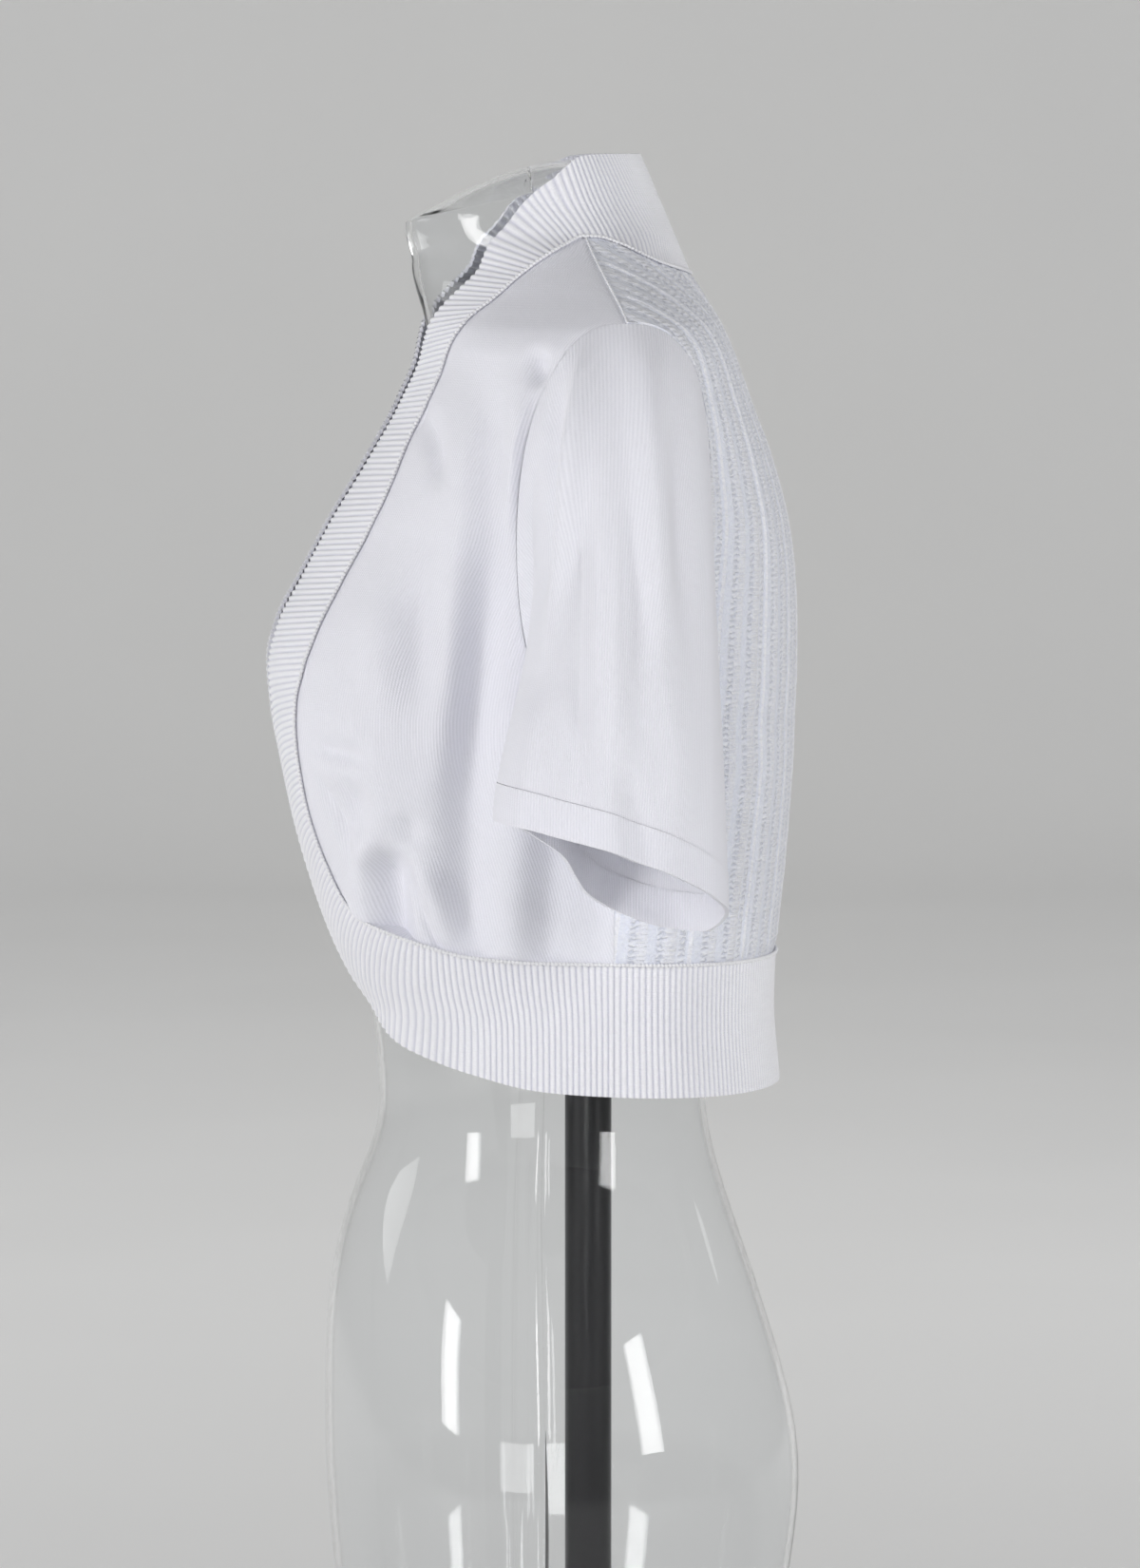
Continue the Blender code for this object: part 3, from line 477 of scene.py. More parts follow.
def jersey_material():
    """White viscose jersey: upright wales of small V-shaped stitches, with a soft sheen."""
    material, tree, shader = new_material(
        "white_jersey_cloth", 0.62, Sheen_Weight=0.25, Sheen_Roughness=0.4
    )
    let_light_through(shader)
    across, up, uv = flat_position(tree)
    wales = wave(tree, across, WALE_PITCH)
    slant = calc(tree, "MULTIPLY_ADD", wales, 0.4 * WALE_PITCH * MM, up)
    courses = wave(tree, slant, COURSE_PITCH)
    yarn = noise(tree, uv, JERSEY_YARN)
    height = calc(tree, "MULTIPLY_ADD", courses, 0.35, wales)
    height = calc(tree, "MULTIPLY_ADD", yarn, 0.8, height)
    add_bump(tree, shader, height, 0.13)
    # The colour is darker in the grooves between the wales and lighter on their tops: painted shade
    # and light, with random tone from the yarn noise.
    groove_shade_and_yarn_tone = calc(tree, "MULTIPLY_ADD", wales, 0.55, calc(tree, "MULTIPLY", yarn, 0.6))
    colour = blend_colours(tree, groove_shade_and_yarn_tone, *JERSEY_SHADED_AND_LIT_COLOURS)
    tree.links.new(colour, shader.inputs["Base Color"])
    return material


jersey = jersey_material()

FRONT_COLUMNS = 76
FRONT_SIDE_ROWS = 56
FRONT_ARMHOLE_ROWS = 120
FRONT_ROWS = FRONT_SIDE_ROWS + FRONT_ARMHOLE_ROWS

seam_up, _ = evenly(seam_place, CORNER_STATION, NECK_STATION, FRONT_ROWS)
seam_back, _ = evenly(seam_place, CORNER_STATION, SIDE_STATION, FRONT_COLUMNS)
armhole_up, _ = evenly(armhole_place, 180, 0, FRONT_ARMHOLE_ROWS)
side_seam_foot = float(BAND[SIDE_STATION].seam_height)
side_heights = np.linspace(side_seam_foot, UNDERARM_HEIGHT, FRONT_SIDE_ROWS, endpoint=False)
shoulder_heights, _ = evenly(side_place, NECK_HEIGHT, SHOULDER_TIP_HEIGHT, FRONT_COLUMNS)
right_edge = np.vstack(
    (flat("front", side_place(side_heights)), flat("front", armhole_place(armhole_up)))
)
front_flat = patch(
    bottom=flat("front", seam_place(seam_back)),
    top=flat("front", side_place(shoulder_heights)),
    left=flat("front", seam_place(seam_up)),
    right=right_edge,
)
front_places = worn("front", front_flat)
front_points = cloth_point(*front_places)
front_normals = cloth_normal(*front_places)
relief = FOLD_DEPTH * fold_relief(FRONT_FOLDS, front_points[..., 1], front_points[..., 2])
held = grid_lift(relief.shape)
relief = relief * held - SEAM_DIP * (1 - held)
front_points = front_points + front_normals * relief[..., None]
for side, points in (("left", front_points), ("right", mirrored(front_points))):
    across, up = front_flat[..., 0], front_flat[..., 1]
    if side == "right":
        across, up = across[:, ::-1], up[:, ::-1]
    front = cloth_sheet(
        f"jersey_front_{side}", points, across, up, JERSEY_THICKNESS, jersey
    )
    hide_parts(f"front_{side}")

# ---- The two sleeves ---------------------------------------------------------------------------
# A short set-in sleeve of the same jersey, with its head eased into the armhole. It has no arm in
# it, so it hangs from the shoulder in long soft folds. Its hem is turned up once and linked.

SLEEVE_HEM = 18.0
HEM_THICKNESS = 2.0
HEM_GAP = 0.2
HEM_LIFT = 0.35
SLEEVE_COLUMNS = 144
SLEEVE_ROWS = 84
HEM_ROWS = 10
ARMHOLE_INSET = 0.1
SLEEVE_LIFT = 0.7

# The cuff's rim. turn is measured round the sleeve: 0 outside, 90 in front, 180 by the body.
Cuff = namedtuple("Cuff", "turn x y z")
CUFF = [
    Cuff(0, 262, -4, 617),
    Cuff(30, 257, -24, 622),
    Cuff(60, 243, -45, 627),
    Cuff(90, 222, -57, 629),
    Cuff(115, 203, -45, 624),
    Cuff(135, 190, -24, 608),
    Cuff(155, 181, -11, 590),
    Cuff(180, 174, 6, 580),
    Cuff(210, 176, 28, 573),
    Cuff(240, 187, 45, 572),
    Cuff(270, 212, 55, 583),
    Cuff(300, 236, 47, 593),
    Cuff(330, 253, 24, 606),
    Cuff(360, 262, -4, 617),
]
LEAVES_TOP = np.array((0.80, 0.0, -0.60))
LEAVES_UNDERARM = np.array((0.42, 0.0, -0.91))
HANGS = np.array((0.16, 0.0, -0.99))

# Folds on the sleeve's outer side and on the side by the body, in the terms of the fronts' folds.
OUTER_FOLDS = [
    Fold(-8, 880, -43, 690, 3, 7.5, 6, 0),
    Fold(-8, 876, -43, 694, 3, 2.2, 2.5, 0),
    Fold(-19, 872, -47, 715, 2, -7.0, 6, 0),
    Fold(2, 880, 8, 640, 5, -6.0, 9, 0),
    Fold(17, 876, 24, 690, -2, 5.0, 8, 0),
    Fold(33, 856, 40, 680, -2, -5.5, 8, 0),
    Fold(-28, 720, -14, 625, 2, -2.4, 9, 0),
    Fold(-42, 700, -47, 634, 0, 3.0, 7, 1),
    Fold(0, 670, 14, 592, 1, -3.0, 7, 1),
    Fold(26, 715, 30, 600, 2, 3.4, 10, 0),
]
INNER_FOLDS = [
    Fold(-20, 655, -30, 590, 2, -3.0, 8, 0),
    Fold(8, 650, 4, 578, 2, 2.6, 9, 0),
    Fold(30, 655, 34, 575, -2, -2.8, 9, 0),
    Fold(-2, 640, -14, 585, 0, -1.6, 5, 0),
]

# The front of the empty sleeve falls in towards its middle.
FRONT_PINCH = [Fold(-40, 830, -46, 622, 0, -9.0, 60, 0)]

# How sharply the folds of one side of the sleeve end at its turn, and how soon they start below
# the armhole.
FACING = 2.5
SEAM_RISE = 10

front_half, _ = evenly(armhole_place, 0, 180, SLEEVE_COLUMNS // 2)
back_half, _ = evenly(armhole_place, 360, 180, SLEEVE_COLUMNS // 2)
armhole_turns = np.concatenate((front_half, back_half[-2::-1]))[::-1]
turns = np.linspace(360, 0, SLEEVE_COLUMNS + 1)
low_share = (1 - np.cos(np.radians(armhole_turns))) / 2
head_place = armhole_place(armhole_turns, ARMHOLE_INSET)
head_lift = (SLEEVE_LIFT * low_share**0.5)[:, None]
sleeve_head = cloth_point(*head_place) + cloth_normal(*head_place) * head_lift
whole_turns = [row._replace(turn=row.turn + 360 * k) for k in (-1, 0, 1) for row in CUFF[:-1]]
sleeve_rim = np.stack([smooth_column(whole_turns, axis, turns) for axis in "xyz"], axis=-1)
sleeve_reach = np.linalg.norm(sleeve_rim - sleeve_head, axis=1)
low = low_share[:, None]
leaving = (LEAVES_TOP * (1 - low) + LEAVES_UNDERARM * low) * sleeve_reach[:, None]
hanging = HANGS * sleeve_reach[:, None]


def sleeve_grid(shares):
    """Sleeve points, from shares of the way down each strand: a row for each share."""
    t = shares[..., None]
    points = (
        sleeve_head * (1 + 2 * t) * (1 - t) ** 2
        + sleeve_rim * t * t * (3 - 2 * t)
        + leaving * t * (1 - t) ** 2
        - hanging * t * t * (1 - t)
    )
    out = tube_normals(points)
    y, z = points[..., 1], points[..., 2]
    outer = np.clip(out[..., 0] * FACING, 0, 1) * fold_relief(OUTER_FOLDS, y, z)
    inner = np.clip(out[..., 0] * -FACING, 0, 1) * fold_relief(INNER_FOLDS, y, z)
    front = np.clip(out[..., 1] * -FACING, 0, 1) * fold_relief(FRONT_PINCH, y, z)
    from_seam = np.clip(shares * SEAM_RISE, 0, 1)
    lift = (outer + inner + front) * from_seam - SEAM_DIP * (1 - from_seam) ** 2
    return points + out * lift[..., None], out


def strand_shares(first, last, rows):
    """Shares from first to last, which are distances above the rim, or None for the armhole."""
    top = np.zeros_like(sleeve_reach) if first is None else 1 - first / sleeve_reach
    end = 1 - last / sleeve_reach
    return np.linspace(end, top, rows + 1)


def sleeve_sizes(points):
    """Flat sizes of a sleeve's grid: round it at its widest, and up each strand."""
    up_steps = np.linalg.norm(np.diff(points, axis=0), axis=2)
    up = np.vstack((np.zeros(points.shape[1]), np.cumsum(up_steps, axis=0)))
    middle = points[len(points) // 2]
    round_steps = np.linalg.norm(np.diff(middle, axis=0), axis=1)
    across = np.concatenate(([0.0], np.cumsum(round_steps)))
    return np.broadcast_to(across, up.shape), up


sleeve_points, _ = sleeve_grid(strand_shares(None, SLEEVE_HEM + HEM_GAP, SLEEVE_ROWS))
hem_points, hem_out = sleeve_grid(strand_shares(SLEEVE_HEM, 0.0, HEM_ROWS))
hem_points = hem_points + hem_out * HEM_LIFT
for side in ("left", "right"):
    for name, points, thickness, node, held, cut, area in (
        ("jersey_sleeve", sleeve_points, JERSEY_THICKNESS, "sleeve", "hung", (0.36, 0.27), 0.06),
        ("sleeve_turn_up", hem_points, HEM_THICKNESS, "sleeve_hem", "folded", (0.28, 0.018), None),
    ):
        across, up = sleeve_sizes(points)
        if side == "right":
            points, across, up = mirrored(points), across[:, ::-1], up[:, ::-1]
        piece = cloth_sheet(f"{name}_{side}", points, across, up, thickness, jersey)
        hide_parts(f"{node}_{side}")

# ---- The openwork back -------------------------------------------------------------------------
# The back is one panel of openwork knit in upright stripes: ladders of small bars, columns of
# tiny eyelets, plain strips with a painted bluish shade and thin raised cords. The stripes run
# from the hem band to the shoulder seams and the neck, and the armholes cut across them.

LACE_THICKNESS = 1.5
LACE_YARN = 1.3
LACE_CURL = 2.6
LACE_COLOURS = (0.72, 0.73, 0.87), (0.96, 0.965, 1.0)
BLUISH_STRIPE_SHADE = (0.75, 0.79, 0.94)
EYELET_SHADE = (0.64, 0.67, 0.78)
LADDER_GAP_SHADE = (0.68, 0.70, 0.79)
BACK_COLUMN = 1.35
BACK_SIDE_ROWS = 92
BACK_TOP_ROWS = 56
EDGE_STOPS = 400

# One repeat of the stripes. relief is how far each stands out, and the last three columns say how
# much it shows ladder bars and eyelets, both with painted shade, and a painted bluish shade.
Stripe = namedtuple("Stripe", "width relief ladder eyelets blue")
STRIPES = [
    Stripe(1.2, 0.1, 0.0, 0.0, 0.6),
    Stripe(6.8, 0.9, 1.0, 0.0, 0.0),
    Stripe(3.4, 0.2, 0.0, 1.0, 0.6),
    Stripe(5.2, 0.5, 0.0, 0.0, 1.0),
    Stripe(5.0, 0.8, 0.8, 0.0, 0.2),
    Stripe(3.6, 0.1, 0.0, 1.0, 0.4),
    Stripe(4.0, 0.4, 0.0, 0.0, 0.9),
    Stripe(1.4, -0.3, 0.0, 0.0, 1.0),
    Stripe(2.6, 1.3, 0.2, 0.0, 0.0),
    Stripe(1.4, -0.3, 0.0, 0.0, 1.0),
    Stripe(3.8, 0.3, 0.0, 0.9, 0.3),
]
REPEAT = sum(stripe.width for stripe in STRIPES)
LADDER_PITCH = 2.1
EYELET_PITCH = 2.9


def stripe_relief(across):
    """How far the stripes lift the cloth at distances from the back centre."""
    starts = np.cumsum([0.0] + [stripe.width for stripe in STRIPES])
    middles = (starts[:-1] + starts[1:]) / 2
    knots = np.concatenate(([middles[-1] - REPEAT], middles, [middles[0] + REPEAT]))
    lifts = [stripe.relief for stripe in STRIPES]
    lifts = [lifts[-1]] + lifts + [lifts[0]]
    return np.interp(np.abs(across) % REPEAT, knots, lifts)


def lace_material():
    """Pale openwork knit. A ramp over one repeat of the stripes holds the three masks."""
    material, tree, shader = new_material("striped_lace_knit", 0.8, Sheen_Weight=0.3)
    let_light_through(shader)
    across, up, uv = flat_position(tree)
    place = calc(tree, "ABSOLUTE", across)
    place = calc(tree, "FRACT", calc(tree, "DIVIDE", place, REPEAT * MM))
    ramp = tree.nodes.new("ShaderNodeValToRGB")
    ramp.color_ramp.interpolation = "LINEAR"
    tree.links.new(place, ramp.inputs["Fac"])
    start = 0.0
    elements = ramp.color_ramp.elements
    while len(elements) > 1:
        elements.remove(elements[-1])
    for k, stripe in enumerate(STRIPES):
        for share in (0.15, 0.85):
            at = (start + stripe.width * share) / REPEAT
            element = elements[0] if k == 0 and share == 0.15 else elements.new(at)
            element.position = at
            element.color = (stripe.ladder, stripe.eyelets, stripe.blue, 1.0)
        start += stripe.width
    masks = tree.nodes.new("ShaderNodeSeparateColor")
    tree.links.new(ramp.outputs["Color"], masks.inputs["Color"])
    ladder, eyelets, blue = [masks.outputs[name] for name in ("Red", "Green", "Blue")]
    wobble = calc(tree, "MULTIPLY_ADD", noise(tree, uv, 9.0), 1.6 * MM, up)
    bars = calc(tree, "MULTIPLY", wave(tree, wobble, LADDER_PITCH), ladder)
    curl = noise(tree, uv, LACE_CURL)
    stagger = calc(tree, "MULTIPLY_ADD", curl, 2 * EYELET_PITCH * MM, up)
    holes = calc(tree, "POWER", wave(tree, stagger, EYELET_PITCH), 2.5)
    holes = calc(tree, "MULTIPLY", holes, eyelets)
    yarn = noise(tree, uv, LACE_YARN, 4.0)
    height = calc(tree, "MULTIPLY_ADD", bars, 1.2, calc(tree, "MULTIPLY", yarn, 1.8))
    height = calc(tree, "MULTIPLY_ADD", curl, 2.2, height)
    height = calc(tree, "SUBTRACT", height, calc(tree, "MULTIPLY", holes, 1.6))
    add_bump(tree, shader, height, 0.45)
    mottle = calc(tree, "MULTIPLY_ADD", curl, 0.9, calc(tree, "MULTIPLY", yarn, 0.5))
    pale = blend_colours(tree, mottle, *LACE_COLOURS)
    # Some stripes, most of all the sunken ones, get a painted bluish shade.
    stripe_shade = calc(tree, "MULTIPLY", blue, 0.5)
    colour = blend_colours(tree, stripe_shade, pale, BLUISH_STRIPE_SHADE)
    # The eyelets are painted darker and bluer: painted shade standing in for the holes, which are
    # not cut.
    shadow = calc(tree, "MULTIPLY", holes, 0.6)
    colour = blend_colours(tree, shadow, colour, EYELET_SHADE)
    # The gaps between the ladder bars are painted darker: painted shade.
    gap_shade = calc(tree, "MULTIPLY", calc(tree, "SUBTRACT", ladder, bars), 0.3)
    colour = blend_colours(tree, gap_shade, colour, LADDER_GAP_SHADE)
    tree.links.new(colour, shader.inputs["Base Color"])
    return material


lace = lace_material()

# The armhole's back edge in the flat, from the underarm up to the shoulder tip.
armhole_back, _ = evenly(armhole_place, 180, 360, EDGE_STOPS)
armhole_flat = flat("back", armhole_place(armhole_back))
deepest = int(np.argmin(armhole_flat[:, 0]))
armhole_across = armhole_flat[deepest, 0]
hem_line = flat("back", seam_place(np.linspace(BACK_STATION, SIDE_STATION, EDGE_STOPS)))
neck_line = flat("back", seam_place(np.linspace(0, NECK_STATION, EDGE_STOPS)))
ridge_heights = np.linspace(NECK_HEIGHT, SHOULDER_TIP_HEIGHT, EDGE_STOPS)
ridge_line = flat("back", side_place(ridge_heights))
top_line = np.vstack((neck_line, ridge_line[1:]))


def on_line(line, across):
    return np.stack((across, np.interp(np.abs(across), line[:, 0], line[:, 1])), axis=-1)


def upright(across, low, high, rows):
    """A straight upright edge in the flat."""
    return np.stack((np.full(rows + 1, across), np.linspace(low, high, rows + 1)), axis=-1)


middle_columns = round(2 * armhole_across / BACK_COLUMN)
across = np.linspace(armhole_across, -armhole_across, middle_columns + 1)
bottom, top = on_line(hem_line, across), on_line(top_line, across)
armhole_height = armhole_flat[deepest, 1]
below_armhole = upright(armhole_across, bottom[0, 1], armhole_height, BACK_SIDE_ROWS)
above_armhole = upright(armhole_across, armhole_height, top[0, 1], BACK_TOP_ROWS)
middle_edge = np.vstack((below_armhole, above_armhole[1:]))
middle_flat = patch(bottom, top, middle_edge, middle_edge * (-1, 1))

side_bottom_across = hem_line[-1, 0]
side_columns = round((side_bottom_across - armhole_across) / BACK_COLUMN)
side_seam_heights = np.linspace(side_seam_foot, UNDERARM_HEIGHT, BACK_SIDE_ROWS + 1)
lower_arm = armhole_flat[: deepest + 1]
shares = np.linspace(0, 1, side_columns + 1)
arm_stops = np.interp(shares, np.linspace(0, 1, len(lower_arm)), np.arange(len(lower_arm)))
arm_edge = np.stack(
    [np.interp(arm_stops, np.arange(len(lower_arm)), lower_arm[:, k]) for k in (0, 1)], axis=-1
)
low_across = np.linspace(side_bottom_across, armhole_across, side_columns + 1)
side_flat = patch(
    on_line(hem_line, low_across),
    arm_edge,
    flat("back", side_place(side_seam_heights)),
    below_armhole,
)

upper_arm = armhole_flat[deepest:][::-1]
tip_across = upper_arm[0, 0]
top_columns = round((tip_across - armhole_across) / BACK_COLUMN)
upper_across = np.linspace(tip_across, armhole_across, top_columns + 1)
upper_edge = np.stack(
    (upper_across, np.interp(upper_across, upper_arm[::-1, 0], upper_arm[::-1, 1])), axis=-1
)
ridge_edge = on_line(top_line, upper_across)
ridge_edge[0] = upper_edge[0]
top_flat = patch(
    upper_edge,
    ridge_edge,
    upright(tip_across, upper_edge[0, 1], ridge_edge[0, 1], BACK_TOP_ROWS),
    above_armhole,
)


def back_points(flat_points, held):
    """The worn points of one stretch of the back, with its stripes raised."""
    places = worn("back", flat_points)
    points, out = cloth_point(*places), cloth_normal(*places)
    inside = grid_lift(points.shape[:2], held)
    lift = stripe_relief(flat_points[..., 0]) * inside - SEAM_DIP * (1 - inside)
    points = points + out * lift[..., None]
    points[..., 0] *= np.where(flat_points[..., 0] < 0, -1, 1)
    return points


stretches = []
for name, flat_points, held in (
    ("middle", middle_flat, (1, 1, 0, 0)),
    ("left_side", side_flat, (1, 1, 1, 0)),
    ("left_top", top_flat, (1, 1, 0, 0)),
):
    points = back_points(flat_points, held)
    stretches.append((name, points, flat_points[..., 0], flat_points[..., 1]))
    if name != "middle":
        stretches.append(
            (
                name.replace("left", "right"),
                mirrored(points),
                -flat_points[:, ::-1, 0],
                flat_points[:, ::-1, 1],
            )
        )


parts = [cloth_grid(f"lace_{name}", *grid) for name, *grid in stretches]
deselect()
for part in parts:
    part.select_set(True)
bpy.context.view_layer.objects.active = parts[0]
bpy.ops.object.join()
back = bpy.context.object
back.name = back.data.name = "lace_back"
finish_cloth(back, LACE_THICKNESS, lace)
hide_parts("back_panel")

# ---- The rib band ------------------------------------------------------------------------------
# A wide band of fine 1x1 rib finishes the whole edge: round the back of the neck as a collar, down
# each front, round the lower corner and along the hem. Its ribs run square to its edge, and it is
# linked to the panels with a raised chain of loops.

RIB_PITCH = 3.1
RIB_HEIGHT = 0.85
RIB_COLUMNS = 6
BAND_THICKNESS = 1.8
BAND_COLUMNS = 8
RIB_STITCH = 1.2
RIB_YARN = 0.8
# The rib's two colours are the painted shade in its grooves and the lit tops of its ribs.
RIB_SHADED_AND_LIT_COLOURS = (0.62, 0.62, 0.71), (0.88, 0.88, 0.92)
CHAIN_PITCH = 1.9
CHAIN_SIZE = (1.35, 1.1, 0.9)
CHAIN_LIFT = 1.1
CHAIN_ASIDE = 0.5
CHAIN_LEAN = 24
SHOULDER_STITCH_PITCH = 1.5
SHOULDER_STITCH_SIZE = (1.3, 0.5, 0.45)
SHOULDER_STITCH_LIFT = 0.5
LINKING_YARN = 0.7
LINKING_COLOURS = (0.82, 0.82, 0.86), (0.93, 0.93, 0.95)


def rib_material():
    """White rib knit: the ribs are in the mesh, and the yarn's small stitches are bump."""
    material, tree, shader = new_material("white_rib_cloth", 0.68, Sheen_Weight=0.3)
    let_light_through(shader)
    across, up, uv = flat_position(tree)
    stitches = wave(tree, across, RIB_STITCH)
    grooves = wave(tree, up, RIB_PITCH, -pi / 2)
    yarn = noise(tree, uv, RIB_YARN)
    height = calc(tree, "MULTIPLY_ADD", stitches, 0.5, yarn)
    add_bump(tree, shader, height, 0.18)
    # The colour is darker in the grooves between the ribs and lighter on the rib tops: painted
    # shade and light, with random tone from the yarn noise.
    groove_shade_and_yarn_tone = calc(tree, "MULTIPLY_ADD", yarn, 0.3, calc(tree, "POWER", grooves, 0.5))
    colour = blend_colours(tree, groove_shade_and_yarn_tone, *RIB_SHADED_AND_LIT_COLOURS)
    tree.links.new(colour, shader.inputs["Base Color"])
    return material


rib = rib_material()


def band_grid(first, last):
    """Points of the rib band between two stations, and its flat sizes. Its rows lie square to the
    edge, six to a rib, and each runs from the free edge to the seam."""
    _, length = evenly(seam_place, first, last, 1)
    ribs = round(length / RIB_PITCH)
    stations, _ = evenly(seam_place, last, first, ribs * RIB_COLUMNS)
    shares = np.linspace(1, 0, BAND_COLUMNS + 1)
    lines = [
        smooth_column(BAND, f"seam_{kind}", stations)[:, None] * (1 - shares)
        + smooth_column(BAND, f"edge_{kind}", stations)[:, None] * shares
        for kind in ("angle", "height")
    ]
    points = cloth_point(*lines)
    step = np.arange(len(stations)) % RIB_COLUMNS / RIB_COLUMNS
    rib_lift = RIB_HEIGHT * (1 - np.abs(np.cos(pi * step)) ** 3)
    points = points + cloth_normal(*lines) * rib_lift[:, None, None]
    width = np.cumsum(np.linalg.norm(np.diff(points, axis=1), axis=2), axis=1)
    across = np.hstack((np.zeros((len(points), 1)), width))
    up = np.arange(len(points))[:, None] * RIB_PITCH / RIB_COLUMNS
    return points, across, np.broadcast_to(up, across.shape)


points, across, up = band_grid(0, SIDE_STATION)
for side in ("left", "right"):
    if side == "right":
        points, across, up = mirrored(points), across[:, ::-1], up[:, ::-1]
    band = cloth_sheet(
        f"rib_band_{side}", points, across, up, BAND_THICKNESS, rib
    )
    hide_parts(f"front_band_{side}")

half, half_across, half_up = band_grid(SIDE_STATION, BACK_STATION)
other_half = (half * (-1, 1, 1))[::-1]
points = np.vstack((other_half[:-1], half))
up = np.concatenate((-half_up[::-1][:-1], half_up))
across = np.vstack((half_across[::-1][:-1], half_across))
hem = cloth_sheet("rib_hem_back", points, across, up, BAND_THICKNESS, rib)
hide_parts("hem_band_back")


def chain_of_loops(name, paths, size, pitch, lift, material):
    """Small raised loops in a line along each path of places on the cloth."""
    deselect()
    bpy.ops.mesh.primitive_ico_sphere_add(subdivisions=1, radius=1.0)
    loop = bpy.context.object
    loop.scale = size
    bpy.ops.object.transform_apply(location=False, rotation=False, scale=True)
    shape = np.array([vertex.co for vertex in loop.data.vertices])
    faces = np.array([face.vertices[:] for face in loop.data.polygons])
    bpy.data.objects.remove(loop)
    corners, polygons = [], []
    for place_at, first, last, side in paths:
        _, length = evenly(place_at, first, last, 1)
        count = round(length / pitch)
        stops, _ = evenly(place_at, first, last, count)
        places = place_at(stops)
        centres = cloth_point(*places) + cloth_normal(*places) * lift
        along = unit(np.gradient(centres, axis=0))
        out = cloth_normal(*places)
        aside = unit(np.cross(out, along))
        centres = centres + aside * CHAIN_ASIDE
        for k, centre in enumerate(centres):
            lean = radians(CHAIN_LEAN) * (1 if k % 2 else -1)
            forward = along[k] * cos(lean) + aside[k] * sin(lean)
            across = aside[k] * cos(lean) - along[k] * sin(lean)
            loops = centre + shape @ np.array((forward, across, out[k]))
            corners.append(loops * (side, 1, 1))
            polygons.append((faces if side > 0 else faces[:, ::-1]) + len(shape) * len(polygons))
    mesh = bpy.data.meshes.new(name)
    mesh.from_pydata(np.vstack(corners) * MM, [], np.vstack(polygons).tolist())
    mesh.shade_smooth()
    chain = bpy.data.objects.new(name, mesh)
    bpy.context.scene.collection.objects.link(chain)
    mesh.materials.append(material)
    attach(chain, "root")


def linking_material():
    material, tree, shader = new_material("linking_yarn", 0.7, Sheen_Weight=0.3)
    let_light_through(shader)
    place = tree.nodes.new("ShaderNodeTexCoord").outputs["Object"]
    yarn = noise(tree, place, LINKING_YARN)
    colour = blend_colours(tree, yarn, *LINKING_COLOURS)
    tree.links.new(colour, shader.inputs["Base Color"])
    add_bump(tree, shader, yarn, 0.2)
    return material


linking_yarn = linking_material()
band_seams = [(seam_place, 0, BACK_STATION, side) for side in (1, -1)]
shoulder_seams = [(side_place, NECK_HEIGHT, SHOULDER_TIP_HEIGHT, side) for side in (1, -1)]
for name, seams, size, pitch, lift in (
    ("band_linking_chain", band_seams, CHAIN_SIZE, CHAIN_PITCH, CHAIN_LIFT),
    (
        "shoulder_seams", shoulder_seams,
        SHOULDER_STITCH_SIZE, SHOULDER_STITCH_PITCH, SHOULDER_STITCH_LIFT,
    ),
):
    chain_of_loops(name, seams, size, pitch, lift, linking_yarn)

# ---- The clear dress form ----------------------------------------------------------------------
# A limbless form moulded in two clear plastic halves, joined along its sides. Its walls are 3 mm
# thick, its neck is closed by a sloping cap, and it is open below.

PLASTIC_COLOUR = (0.965, 0.972, 0.975, 1.0)
RIM_ANGLE = 50

# The front of the neck tapers evenly, so its hollow below the cap is filled out a little.
FORM_JOIN_Y = -30.0
NECK_REACH = 55.0
NECK_FILL = 4.4
NECK_FILL_HEIGHT = 880.0
NECK_FILL_SPREAD = 18.0


def crease_rims(mesh):
    """Keeps the edges of the moulded walls crisp when the mesh is subdivided."""
    shell = bmesh.new()
    shell.from_mesh(mesh)
    crease = shell.edges.layers.float.new("crease_edge")
    for edge in shell.edges:
        if edge.calc_face_angle(0) > radians(RIM_ANGLE):
            edge[crease] = 1.0
    shell.to_mesh(mesh)
    shell.free()


def smoothed_places(mesh):
    """Where a mesh's points go when it is subdivided."""
    trial = bpy.data.objects.new("trial", mesh.copy())
    bpy.context.scene.collection.objects.link(trial)
    bpy.context.view_layer.objects.active = trial
    apply_modifier(trial, "SUBSURF", levels=2, render_levels=2)
    places = np.array([vertex.co for vertex in trial.data.vertices[: len(mesh.vertices)]])
    bpy.data.objects.remove(trial)
    return places


